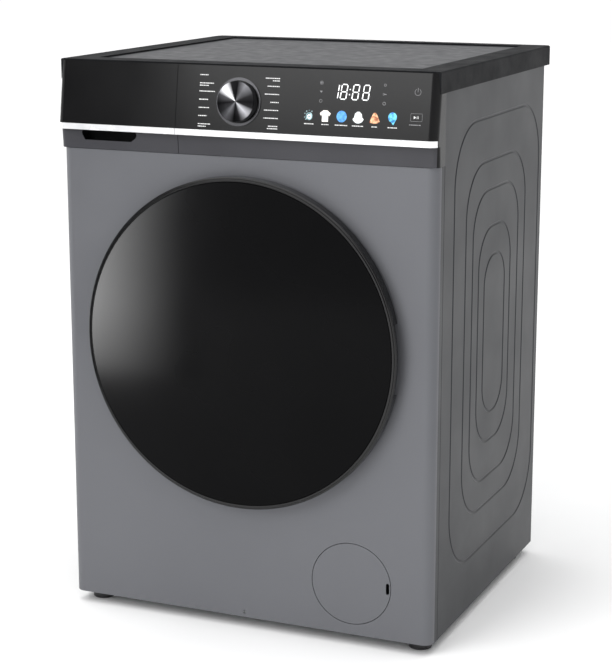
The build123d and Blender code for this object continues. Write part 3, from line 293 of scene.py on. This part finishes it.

# %% [markdown]
# ## Finishes on the CAD parts
# Each CAD part takes the finish of its material. Round parts keep the CAD model's own normals,
# which also keep their sharp edges.

# %% Assign the finishes
finishes = {
    side_paint_painted_shade: ["left_side_panel", "right_side_panel"],
    front_silver: ["front_panel", "service_flap"],
    galvanised: ["rear_panel", "rear_cover", "base_tray", "top_frame"],
    worktop_plastic: ["worktop_frame"],
    board_laminate: ["worktop_board"],
    gloss_black: ["fascia", "drawer_front"],
    chrome_trim_painted_reflection: ["fascia_trim", "drawer_trim"],
    dark_chrome: ["knob_ring"],
    gloss_rim: ["door_trim", "door_frame"],
    black_plastic: ["door_inner_ring", "door_lock", "filter_surround", "drain_spout", "cord_gland",
                    "damper_cylinders", "front_left_foot", "front_right_foot", "rear_left_foot",
                    "rear_right_foot"],
    white_plastic: ["dispenser_housing", "inlet_valve", "drain_pump", "transit_bolt_caps", "drawer_tray",
                    "siphon_cap", "pump_filter", "drum_lifters"],
    grey_plastic: ["tub_front", "tub_rear"],
    circuit_board: ["control_board"],
    black_glass: ["door_glass", "door_bowl"],
    grey_rubber: ["door_gasket"],
    black_rubber: ["drive_belt"],
    stainless: ["drum_shell", "drum_back", "heater"],
    turned_steel: ["drum_shaft", "drum_bearings", "suspension_springs", "damper_rods", "motor_rotor", "knob"],
    zinc_steel: ["cabinet_screws", "door_screws", "foot_nuts"],
    cast_aluminium: ["door_hinge_bracket", "latch_hook", "drum_spider", "drum_pulley"],
    cast_concrete: ["counterweights"],
    motor_enamel: ["motor_stator"],
}
for finish, names in finishes.items():
    for name in names:
        slots = nodes[name].data.materials
        slots.clear()
        slots.append(finish)
dressed = {name for names in finishes.values() for name in names}
print("dressed:", len(dressed), "left:", sorted(set(nodes) - dressed))

# %% [markdown]
# ## Satin band
# The strip of the control panel below the bright trim is satin, so its faces take a second slot.
# The finger recess in it lies deeper than the cabinet's front, and stays black.

# %% Satin band under the trim
BAND_TOP = 0.748
for name in ("fascia", "drawer_front"):
    mesh = nodes[name].data
    mesh.materials.append(satin_band)
    for face in mesh.polygons:
        if face.center.z < BAND_TOP and face.center.y < FRONT:
            face.material_index = 1

# %% [markdown]
# ## Turned pieces
# The door's glass, the knob and the gasket are turned shapes. A lathe function sweeps an outline
# of (radius, depth) points round an axis in fine steps, so that reflections run smoothly. Each
# new piece takes the place of the coarser CAD mesh and stays within its size.

# %% Lathe
LATHE_STEPS = 192
POLAR_UNIT = 0.1  # distance from the middle that makes one unit of the polar map
SHARP_ANGLE = 38


def lathe(name, outline, middle, forward, material, body, node):
    """Turn a closed outline of (radius, distance behind middle) round the axis through middle."""
    axis = Vector(forward).normalized()
    side = Vector((1, 0, 0))
    up = axis.cross(side)
    made = bmesh.new()
    uv = made.loops.layers.uv.new("polar")
    rows = []
    for radius, behind in outline:
        count = 1 if radius < 1e-7 else LATHE_STEPS
        turns = [2 * math.pi * k / LATHE_STEPS for k in range(count)]
        rows.append([made.verts.new(Vector(middle) - axis * behind
                                    + (side * math.cos(t) + up * math.sin(t)) * radius) for t in turns])
    for low, high in zip(rows, rows[1:] + rows[:1]):
        for k in range(LATHE_STEPS):
            near = (low[k % len(low)], high[k % len(high)])
            far = (low[(k + 1) % len(low)], high[(k + 1) % len(high)])
            ring = list(dict.fromkeys([near[0], far[0], far[1], near[1]]))
            if len(ring) > 2:
                face = made.faces.new(ring)
                face.smooth = True
                for loop in face.loops:
                    turn = (k + (0 if loop.vert in near else 1)) / LATHE_STEPS
                    loop[uv].uv = (turn, (loop.vert.co - Vector(middle)).length / POLAR_UNIT)
    bmesh.ops.recalc_face_normals(made, faces=made.faces)
    mesh = bpy.data.meshes.new(name)
    made.to_mesh(mesh)
    made.free()
    mesh.materials.append(material)
    mesh.set_sharp_from_angle(angle=math.radians(SHARP_ANGLE))
    piece = bpy.data.objects.new(name, mesh)
    bpy.context.scene.collection.objects.link(piece)
    if body:
        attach(piece, body)
    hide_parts(node)
    print("turned:", name, len(mesh.polygons), "faces")
    return piece


# %% Door glass and knob
GLASS_RADIUS, CROWN, GLASS_EDGE, GLASS_THICK = 0.241, 0.037, 0.024, 0.003
glass_low, glass_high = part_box("door_glass")
bulge = CROWN - GLASS_EDGE
sphere = (GLASS_RADIUS ** 2 + bulge ** 2) / (2 * bulge)


def dome(radius, inset):
    """Distance behind the crown of the glass's face, or of its inner face."""
    return sphere - math.sqrt((sphere - inset) ** 2 - radius ** 2)


GLASS_STEPS = 40
POLISHED = 0.997  # the domed face ends just short of the edge, which is ground round
RIM_LAP = 0.012
inner = GLASS_RADIUS - RIM_LAP
outline = []
for k in range(GLASS_STEPS + 1):
    radius = GLASS_RADIUS * k / GLASS_STEPS * POLISHED
    outline.append((radius, dome(radius, 0)))
shelf = glass_high.y - glass_low.y
outline += [(GLASS_RADIUS, bulge + 0.0008), (GLASS_RADIUS, shelf), (inner, shelf)]
for k in range(GLASS_STEPS, -1, -1):
    radius = inner * k / GLASS_STEPS
    outline.append((radius, dome(radius, GLASS_THICK)))
glass_piece = lathe("smooth_door_glass", outline, (0, glass_low.y, AXIS_Z), (0, -1, 0), black_glass,
                    "door", "door_glass")

TOP_DEEP, TOP_Z = 0.002, 0.848  # top edge of the slanted face
SIN, COS = 0.15205, 0.98837  # of the face's lean from upright


def on_face(x, down, proud=0.0):
    """A point on the slanted face: x, distance down it and height above it, in millimetres."""
    x, down, proud = x * MM, down * MM, proud * MM
    return Vector((x, FRONT + TOP_DEEP - down * SIN - proud * COS, TOP_Z - down * COS + proud * SIN))


KNOB_X, KNOB_DOWN, KNOB_R, KNOB_PROUD = -2.0, 50.3, 29.0, 12.0
knob_axis = (0, -COS, SIN)
KNOB_CHAMFER = 1.2
FACE_DEPTH = 0.0009  # faces of the knob deeper than this are its black side
face_r, side_r = (KNOB_R - KNOB_CHAMFER) * MM, KNOB_R * MM
knob_outline = [(0, 0.0004), (0.002, 0.0004), (face_r * 0.5, 0.0004), (face_r, 0.0003),
                (face_r + 0.0007, 0.0004), (side_r, 0.0012), (side_r, 0.0122), (0, 0.0122)]
knob_top = on_face(KNOB_X, KNOB_DOWN, KNOB_PROUD)
knob_piece = lathe("spun_knob_face", knob_outline, knob_top, knob_axis, knob_face_painted_glints, "knob", "knob")
knob_piece.data.materials.append(black_plastic)
for face in knob_piece.data.polygons:
    if (face.center - knob_top).dot(Vector(knob_axis)) < -FACE_DEPTH:
        face.material_index = 1

# %% [markdown]
# ## Door gasket
# The bellows between the front panel and the tub is a folded sheet of rubber. Its centre line is
# rounded by cutting its corners twice, then given its thickness.

# %% Bellows
BELLOWS = [(149.5, 9), (154, 5), (162.5, 3), (163, 17), (180, 22), (161, 33), (178, 42), (176.2, 60)]
BELLOWS_HALF = 1.3  # half the sheet's thickness


def cut_corners(line):
    """Chaikin's rule: each inner corner becomes two points, a quarter of the way along its sides."""
    made = [line[0]]
    for (r0, d0), (r1, d1) in zip(line, line[1:]):
        made.append((0.75 * r0 + 0.25 * r1, 0.75 * d0 + 0.25 * d1))
        made.append((0.25 * r0 + 0.75 * r1, 0.25 * d0 + 0.75 * d1))
    return made + [line[-1]]


centre = [Vector(p) for p in cut_corners(cut_corners(BELLOWS))]
front_side, back_side = [], []
for k, point in enumerate(centre):
    along = (centre[min(k + 1, len(centre) - 1)] - centre[max(k - 1, 0)]).normalized()
    off = Vector((-along.y, along.x)) * BELLOWS_HALF
    front_side.append(tuple((point + off) * MM))
    back_side.append(tuple((point - off) * MM))
bellows = lathe("folded_door_gasket", front_side + back_side[::-1], (0, FRONT, AXIS_Z), (0, -1, 0),
                grey_rubber, None, "door_gasket")
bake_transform(bellows)

# %% [markdown]
# ## Perforated drum
# The drum's wall is punched with rows of small holes, staggered from ring to ring. The holes are not
# cut: each is shown by a near-black disc, painted shade for the dark seen through it. The discs are
# scattered by Geometry Nodes: each point of a net on the wall gets a disc that faces the axis.

# %% Perforations
DRUM_WALL = 0.238
HOLE_NET = 0.0155  # distance between holes
HOLE_RADIUS = 0.0017
OFF_WALL = 0.0012  # the discs lie this far inside the wall's middle
HOLES_FROM, HOLES_TO = 0.112, 0.318  # behind the front panel
LIFTER_TURNS = (90, 210, 330)
LIFTER_HALF = 8  # degrees to either side of a lifter that have no holes


def hole_net(radius, near, far):
    """Points on the drum's wall, staggered, and clear of the three lifters."""
    around, points = int(2 * math.pi * radius / HOLE_NET), []
    for row in range(int((far - near) / HOLE_NET) + 1):
        for k in range(around):
            turn = 360 * (k + 0.5 * (row % 2)) / around
            if min(abs((turn - lifter + 180) % 360 - 180) for lifter in LIFTER_TURNS) > LIFTER_HALF:
                angle = math.radians(turn)
                points.append((radius * math.cos(angle), FRONT + near + HOLE_NET * row,
                               AXIS_Z + radius * math.sin(angle)))
    return points


def disc_tree(material):
    """A tree that puts a disc on each point, facing the drum's axis."""
    tree = bpy.data.node_groups.new("holes_on_wall", "GeometryNodeTree")
    tree.interface.new_socket("Geometry", in_out="INPUT", socket_type="NodeSocketGeometry")
    size = tree.interface.new_socket("Hole radius", in_out="INPUT", socket_type="NodeSocketFloat")
    tree.interface.new_socket("Geometry", in_out="OUTPUT", socket_type="NodeSocketGeometry")
    start = add(tree, "NodeGroupInput")
    place = add(tree, "GeometryNodeInputPosition")
    away = add(tree, "ShaderNodeVectorMath", {"operation": "SUBTRACT"}, i0=(place, "Position"),
               i1=(0, 0, AXIS_Z))
    inward = add(tree, "ShaderNodeVectorMath", {"operation": "MULTIPLY"}, i0=(away, "Vector"),
                 i1=(-1, 0, -1))
    turn = add(tree, "FunctionNodeAlignRotationToVector", {"axis": "Z"}, Vector=(inward, "Vector"))
    hole = add(tree, "GeometryNodeMeshCircle", {"fill_type": "NGON"}, Vertices=12,
               Radius=(start, "Hole radius"))
    copies = add(tree, "GeometryNodeInstanceOnPoints", Points=(start, "Geometry"), Instance=(hole, "Mesh"),
                 Rotation=(turn, "Rotation"))
    real = add(tree, "GeometryNodeRealizeInstances", Geometry=(copies, "Instances"))
    dressed = add(tree, "GeometryNodeSetMaterial", Geometry=(real, "Geometry"), Material=material)
    add(tree, "NodeGroupOutput", Geometry=(dressed, "Geometry"))
    return tree, size.identifier


# Near-black discs: painted shade where the holes show the dark inside of the tub.
hole_shade = mottled("punched_hole_shadow", "#0b0b0c", "#141415", 200.0, 0.8)
net = bpy.data.meshes.new("hole_net")
net.from_pydata(hole_net(DRUM_WALL - OFF_WALL, HOLES_FROM, HOLES_TO), [], [])
net_object = bpy.data.objects.new("hole_net", net)
bpy.context.scene.collection.objects.link(net_object)
scatter = net_object.modifiers.new("holes", "NODES")
scatter.node_group, hole_size = disc_tree(hole_shade)
scatter[hole_size] = HOLE_RADIUS
bpy.context.view_layer.update()
depsgraph = bpy.context.evaluated_depsgraph_get()
spread = bpy.data.meshes.new_from_object(net_object.evaluated_get(depsgraph))
bpy.data.objects.remove(net_object)
holes = bpy.data.objects.new("drum_perforation_shade_discs", spread)
bpy.context.scene.collection.objects.link(holes)
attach(holes, "drum")
print("drum holes:", len(spread.polygons))

# %% [markdown]
# ## Marks on the control panel
# The marks are thin shapes laid just proud of the slanted face. Nothing here is lettering:
# programme names are rows of short dashes, and the clock shows plain seven segment numerals.
# Each function below adds outlines, in millimetres across and down the face, to one list.

# %% Shapes
INK_PROUD = 0.06  # millimetres that print stands above the face
DASH_GAP, DASH_THICK = 0.7, 1.25
DASH_RHYTHM = (2.3, 1.5, 2.9, 1.9)


def bar(x0, d0, x1, d1, thick):
    """A straight stroke between two points."""
    along = Vector((x1 - x0, d1 - d0)).normalized() * thick / 2
    off = Vector((-along.y, along.x))
    return [(x0 + off.x, d0 + off.y), (x0 - off.x, d0 - off.y),
            (x1 - off.x, d1 - off.y), (x1 + off.x, d1 + off.y)]


def arc(x, down, radius, thick, start=0, end=360, pieces=28):
    """Short quads along a ring, or part of one."""
    turns = [math.radians(start + (end - start) * k / pieces) for k in range(pieces + 1)]
    wide, tight = radius + thick / 2, radius - thick / 2
    quads = []
    for a, b in zip(turns, turns[1:]):
        corners = ((wide, a), (wide, b), (tight, b), (tight, a))
        quads.append([(x + r * math.cos(t), down + r * math.sin(t)) for r, t in corners])
    return quads


def disc(x, down, radius, tall=1.0, pieces=28):
    """A filled circle, or an ellipse that is tall times as high as it is wide."""
    turns = [2 * math.pi * k / pieces for k in range(pieces)]
    return [(x + radius * math.cos(t), down + radius * tall * math.sin(t)) for t in turns]


def dashes(x, down, total, right=False):
    """A row of short dashes that stands in for a word: from x to the right, or up to x."""
    lengths = []
    while sum(lengths) + DASH_GAP * len(lengths) < total:
        lengths.append(DASH_RHYTHM[(len(lengths) + int(total)) % len(DASH_RHYTHM)])
    start = x - sum(lengths) - DASH_GAP * (len(lengths) - 1) if right else x
    row = []
    for length in lengths:
        row.append(bar(start, down, start + length, down, DASH_THICK))
        start += length + DASH_GAP
    return row


def printed(name, shapes, material, proud=INK_PROUD):
    """One flat piece from many outlines, laid on the slanted face and facing out of it."""
    out = Vector(knob_axis)
    mesh = bpy.data.meshes.new(name)
    points, faces = [], []
    for shape in shapes:
        corners = [on_face(x, down, proud) for x, down in shape]
        normal = (corners[1] - corners[0]).cross(corners[-1] - corners[0])
        if normal.dot(out) < 0:
            corners.reverse()
        faces.append(list(range(len(points), len(points) + len(corners))))
        points += corners
    mesh.from_pydata(points, [], faces)
    mesh.materials.append(material)
    piece = bpy.data.objects.new(name, mesh)
    bpy.context.scene.collection.objects.link(piece)
    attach(piece, "cabinet")
    print("printed:", name, len(faces), "shapes")


# %% Ink and lit symbols
def glowing_ink(name, dark, light, scale, glow):
    """Printed or lit colour that wanders between two tones, and glows a little. On printed marks, which have
    no lamp, that glow is painted light.
    """
    made, tree, shader = new_material(name)
    place = add(tree, "ShaderNodeTexCoord")
    drift = add(tree, "ShaderNodeTexNoise", Vector=(place, "Object"), Scale=scale, Detail=3.0)
    tone = ramp(tree, drift, [(0.38, dark), (0.62, light)])
    join(tree, tone, "Color", shader, "Base Color")
    join(tree, tone, "Color", shader, "Emission Color")
    shader.inputs["Emission Strength"].default_value = glow
    shader.inputs["Roughness"].default_value = 0.5
    return made


# The two prints glow a little though nothing lights them: painted light that keeps them bright.
glowing_white_print = glowing_ink("white_screen_print_painted_glow", "#cfcfcf", "#dedede", 300.0, 0.25)
glowing_grey_print = glowing_ink("grey_screen_print_painted_glow", "#7a7a7c", "#8a8a8c", 300.0, 0.1)
lit_white = glowing_ink("lit_display_white", "#f2f4f5", "#ffffff", 200.0, 0.8)

# %% Programme marks, clock and keys
LEFT_X, LEFT_TOP, LEFT_PITCH = -65, 13.8, 11.65
RIGHT_X, RIGHT_TOP, RIGHT_PITCH = 60, 15.2, 11.2
SECOND_LINE = 3.4  # down from a programme's first line to its second
left_rows = [13, 22, 25, 14, 17, 13, 20]
right_rows = [21, 19, 22, 13, 21, 21, 14]
second_rows = [(0, 11, "right"), (1, 14, "left"), (6, 13, "left"), (6, 16, "right")]
marks = []
for k, total in enumerate(left_rows):
    marks += dashes(LEFT_X, LEFT_TOP + LEFT_PITCH * k, total)
for k, total in enumerate(right_rows):
    marks += dashes(RIGHT_X, RIGHT_TOP + RIGHT_PITCH * k, total, right=True)
for k, total, side in second_rows:
    if side == "left":
        marks += dashes(LEFT_X, LEFT_TOP + SECOND_LINE + LEFT_PITCH * k, total)
    else:
        marks += dashes(RIGHT_X, RIGHT_TOP + SECOND_LINE + RIGHT_PITCH * k, total, right=True)
printed("programme_marks", marks, glowing_white_print)

SEGMENTS = {"1": "bc", "8": "abcdefg"}
DIGIT_W, DIGIT_H, STROKE, SLANT = 8.6, 20.4, 1.3, 0.11
CLOCK_TOP, SEGMENT_GAP = 19.6, 1.0


def lean(down):
    """How far a digit's point lies to the right, the higher it stands."""
    return (DIGIT_H - down) * SLANT


clock = []
for digit, x in (("1", 140.2), ("8", 152.8), ("8", 170.4), ("8", 186.0)):
    half = DIGIT_H / 2
    ends = {"a": (0, 0, 1, 0), "b": (1, 0, 1, half), "c": (1, half, 1, DIGIT_H),
            "d": (0, DIGIT_H, 1, DIGIT_H), "e": (0, half, 0, DIGIT_H), "f": (0, 0, 0, half),
            "g": (0, half, 1, half)}
    for segment in SEGMENTS[digit]:
        x0, d0, x1, d1 = ends[segment]
        run = Vector(((x1 - x0) * DIGIT_W, d1 - d0)).normalized() * SEGMENT_GAP
        x0, x1 = x + x0 * DIGIT_W, x + x1 * DIGIT_W
        clock.append(bar(x0 + run.x + lean(d0), CLOCK_TOP + d0 + run.y,
                         x1 - run.x + lean(d1), CLOCK_TOP + d1 - run.y, STROKE))
clock += [disc(167.4, 26.2, 0.9), disc(166.6, 33.4, 0.9)]
printed("clock_numerals", clock, lit_white, 0.07)

keys = arc(267, 26.2, 4.4, 0.5, -60, 240) + [bar(267, 20.4, 267, 26.0, 0.6)]
keys += [bar(259.6, 55.4, 274.4, 55.4, 0.3), bar(259.6, 66.0, 274.4, 66.0, 0.3)]
keys += [bar(258.6, 56.4, 258.6, 65.0, 0.3), bar(275.4, 56.4, 275.4, 65.0, 0.3)]
keys += arc(259.6, 56.4, 1.0, 0.3, 180, 270, 6) + arc(274.4, 56.4, 1.0, 0.3, 270, 360, 6)
keys += arc(274.4, 65.0, 1.0, 0.3, 0, 90, 6) + arc(259.6, 65.0, 1.0, 0.3, 90, 180, 6)
keys += dashes(257.4, 71.0, 17)
printed("power_and_start_keys", keys, glowing_grey_print)
printed("start_symbol", [[(263.2, 58.6), (266.6, 60.7), (263.2, 62.8)], bar(268.0, 58.8, 268.0, 62.6, 0.5),
                         bar(269.8, 58.8, 269.8, 62.6, 0.5)], glowing_white_print)

small = arc(124, 18.4, 2.2, 0.5) + [disc(124, 18.6, 0.9)]
small += [[(121.9, 29.6), (126.1, 29.6), (124, 32.4)]] + arc(124, 43.7, 2.0, 0.45)
small += arc(218.7, 18.4, 1.6, 0.5) + arc(217.2, 31, 1.1, 0.5) + [bar(218.4, 31, 221.4, 31, 0.7)]
small += arc(218.7, 43.7, 2.0, 0.6)
printed("indicator_marks", small, glowing_grey_print)

# %% [markdown]
# ## Six option symbols
# Each option is a small coloured picture: a splash, a shirt, a disc, a cap, a jacket and a swirl.

# %% Option symbols
SHIRT_SIDE = [(0.18, -0.46), (0.5, -0.2), (0.38, 0.02), (0.28, -0.06), (0.28, 0.5)]
CAP_SIDE = [(0.1, -0.48), (0.3, -0.3), (0.36, 0.0), (0.5, 0.14), (0.36, 0.36), (0.12, 0.48)]
JACKET = [(-1.6, -7.2), (1.6, -7.2), (4.4, -3.0), (7.8, 4.6), (4.2, 7.2), (0, 7.8), (-4.2, 7.2), (-7.4, 6.4),
          (-4.0, -3.0)]
SPLASH_TURNS = (2.3, 2.8, 3.5, 4.1, 4.7, 5.3)  # where the drops fly, in radians


def mirrored(side, x, down, size):
    """A shape that is the same left and right, from the points of its right side."""
    both = side + [(-px, py) for px, py in reversed(side)]
    return [(x + px * size, down + py * size) for px, py in both]


splash = [disc(107.7, 65.5, 5.0, 1.1)]
splash += [disc(107.7 + 7.0 * math.cos(a), 64.6 + 7.2 * math.sin(a), 0.8) for a in SPLASH_TURNS]
jacket = [[(206.0 + px, 64 + py) for px, py in JACKET]]
swirl = [disc(232.2, 62.0, 6.3, 1.1), [(226.4, 64.6), (238.0, 64.6), (234.0, 72.6)]]
options = [
    ("splash_symbol", splash, "#3f5d63", "#a8c8cc"),
    ("shirt_symbol", [mirrored(SHIRT_SIDE, 132, 64, 16.5)], "#e4ded7", "#f6f1ec"),
    ("disc_symbol", [disc(156.8, 64, 7.6, 1.05)], "#2f78c4", "#5aa2e0"),
    ("cap_symbol", [mirrored(CAP_SIDE, 181.6, 64.4, 16.5)], "#dce8ea", "#f7fafa"),
    ("jacket_symbol", jacket, "#8e4520", "#e9b48a"),
    ("swirl_symbol", swirl, "#1f6fc0", "#6fd6ea"),
]
# The option pictures glow too: painted light.
for name, shapes, dark, light in options:
    printed(name, shapes, glowing_ink(name + "_film_painted_glow", dark, light, 260.0, 0.3))
printed("splash_heart", arc(107.9, 66.0, 2.3, 1.2), lit_white, 0.09)
LABEL_DOWN = 76.2
labels = []
for x, total in ((107.7, 14), (132, 10), (156.8, 19), (181.6, 17), (206.1, 8), (231.9, 12)):
    labels += dashes(x - total / 2, LABEL_DOWN, total)
printed("option_marks", labels, glowing_white_print)

# %% [markdown]
# ## Studio
# A white floor runs out to a white backdrop. One large soft light stands in front and to the left,
# and the sky fills in the rest, brightest overhead. So the front is evenly lit and the side falls
# into a darker grey. A glowing card that only the door's glass sees gives it one soft reflection.

# %% Floor, light and camera
def panel_light(name, place, target, size, power):
    data = bpy.data.lights.new(name, "AREA")
    data.shape = "RECTANGLE"
    data.size, data.size_y = size
    data.energy = power
    made = bpy.data.objects.new(name, data)
    made.location = place
    made.rotation_euler = (Vector(target) - Vector(place)).to_track_quat("-Z", "Y").to_euler()
    bpy.context.scene.collection.objects.link(made)


REACH = 12  # the floor's half width
floor_mesh = bpy.data.meshes.new("floor")
floor_mesh.from_pydata([(-REACH, -REACH, 0), (REACH, -REACH, 0), (REACH, REACH, 0), (-REACH, REACH, 0)], [],
                       [(0, 1, 2, 3)])
floor = bpy.data.objects.new("floor", floor_mesh)
bpy.context.scene.collection.objects.link(floor)
paper = mottled("white_studio_paper", "#f4f4f4", "#f8f8f8", 2.0, 0.85)
floor_mesh.materials.append(paper)

world = bpy.data.worlds.new("studio")
bpy.context.scene.world = world
world.use_nodes = True
sky = world.node_tree
sky.nodes.clear()
way = add(sky, "ShaderNodeTexCoord")
split = add(sky, "ShaderNodeSeparateXYZ", Vector=(way, "Generated"))
tone = ramp(sky, split, [(0.0, "#ffffff"), (0.1, "#ffffff"), (0.24, "#a6a6a7"), (0.6, "#a6a6a7"),
                         (0.8, "#ffffff"), (1.0, "#ffffff")], "Z")
rise = add(sky, "ShaderNodeMapRange", Value=(split, "Z"), From_Min=0.6, From_Max=0.85, To_Min=1.02,
           To_Max=2.1)
glow = add(sky, "ShaderNodeBackground", Color=(tone, "Color"), Strength=(rise, "Result"))
add(sky, "ShaderNodeOutputWorld", Surface=(glow, "Background"))


def glowing_card(name, corners, strength, shown_in):
    """A card reflected by a few pieces only: brightest near its first edge, low down, and soft all round."""
    data = bpy.data.meshes.new(name)
    data.from_pydata(corners, [], [(0, 1, 2, 3)])
    layer = data.uv_layers.new(name="across")
    for loop, uv in zip(layer.data, ((0, 0), (1, 0), (1, 1), (0, 1))):
        loop.uv = uv
    made, tree, shader = new_material(name)
    tree.nodes.remove(shader)
    uv = add(tree, "ShaderNodeUVMap", {"uv_map": "across"})
    split = add(tree, "ShaderNodeSeparateXYZ", Vector=(uv, "UV"))
    fall = add(tree, "ShaderNodeMapRange", {"interpolation_type": "SMOOTHSTEP"}, Value=(split, "X"),
               To_Min=strength, To_Max=0.0)
    tall = ramp(tree, split, [(0.0, "#a8a8a8"), (0.2, "#ffffff"), (0.65, "#ffffff"), (1.0, "#303030")], "Y")
    both = add(tree, "ShaderNodeMath", {"operation": "MULTIPLY"})
    tree.links.new(fall.outputs["Result"], both.inputs[0])
    tree.links.new(tall.outputs["Color"], both.inputs[1])
    shine = add(tree, "ShaderNodeEmission", Strength=(both, "Value"))
    tree.links.new(shine.outputs["Emission"], tree.nodes["Material Output"].inputs["Surface"])
    data.materials.append(made)
    card = bpy.data.objects.new(name, data)
    card.visible_camera = False
    card.visible_diffuse = False
    mirrors = bpy.data.collections.new(name + "_mirrors")
    for piece in shown_in:
        mirrors.objects.link(piece)
    card.light_linking.receiver_collection = mirrors
    card.visible_shadow = False
    bpy.context.scene.collection.objects.link(card)


panel_light("front_left_soft", (-1.3, -3.2, 2.4), (0, -0.2, 0.45), (2.2, 2.2), 84)
glowing_card("left_card", [(-1.35, -1.10, 0.01), (-0.70, -1.40, 0.01), (-0.70, -1.40, 1.3),
                           (-1.35, -1.10, 1.3)], 78.0, [glass_piece])

camera_data = bpy.data.cameras.new("camera")
camera_data.lens = 99.914
camera_data.sensor_width = 36.0
camera = bpy.data.objects.new("camera", camera_data)
camera.location = (1.1398, FRONT - 2.4067, 1.0729)
aim = Vector((-0.0042, FRONT + 0.2401, 0.4043)) - camera.location
camera.rotation_euler = aim.to_track_quat("-Z", "Y").to_euler()
bpy.context.scene.collection.objects.link(camera)
bpy.context.scene.camera = camera
bpy.context.scene.view_settings.view_transform = "Standard"
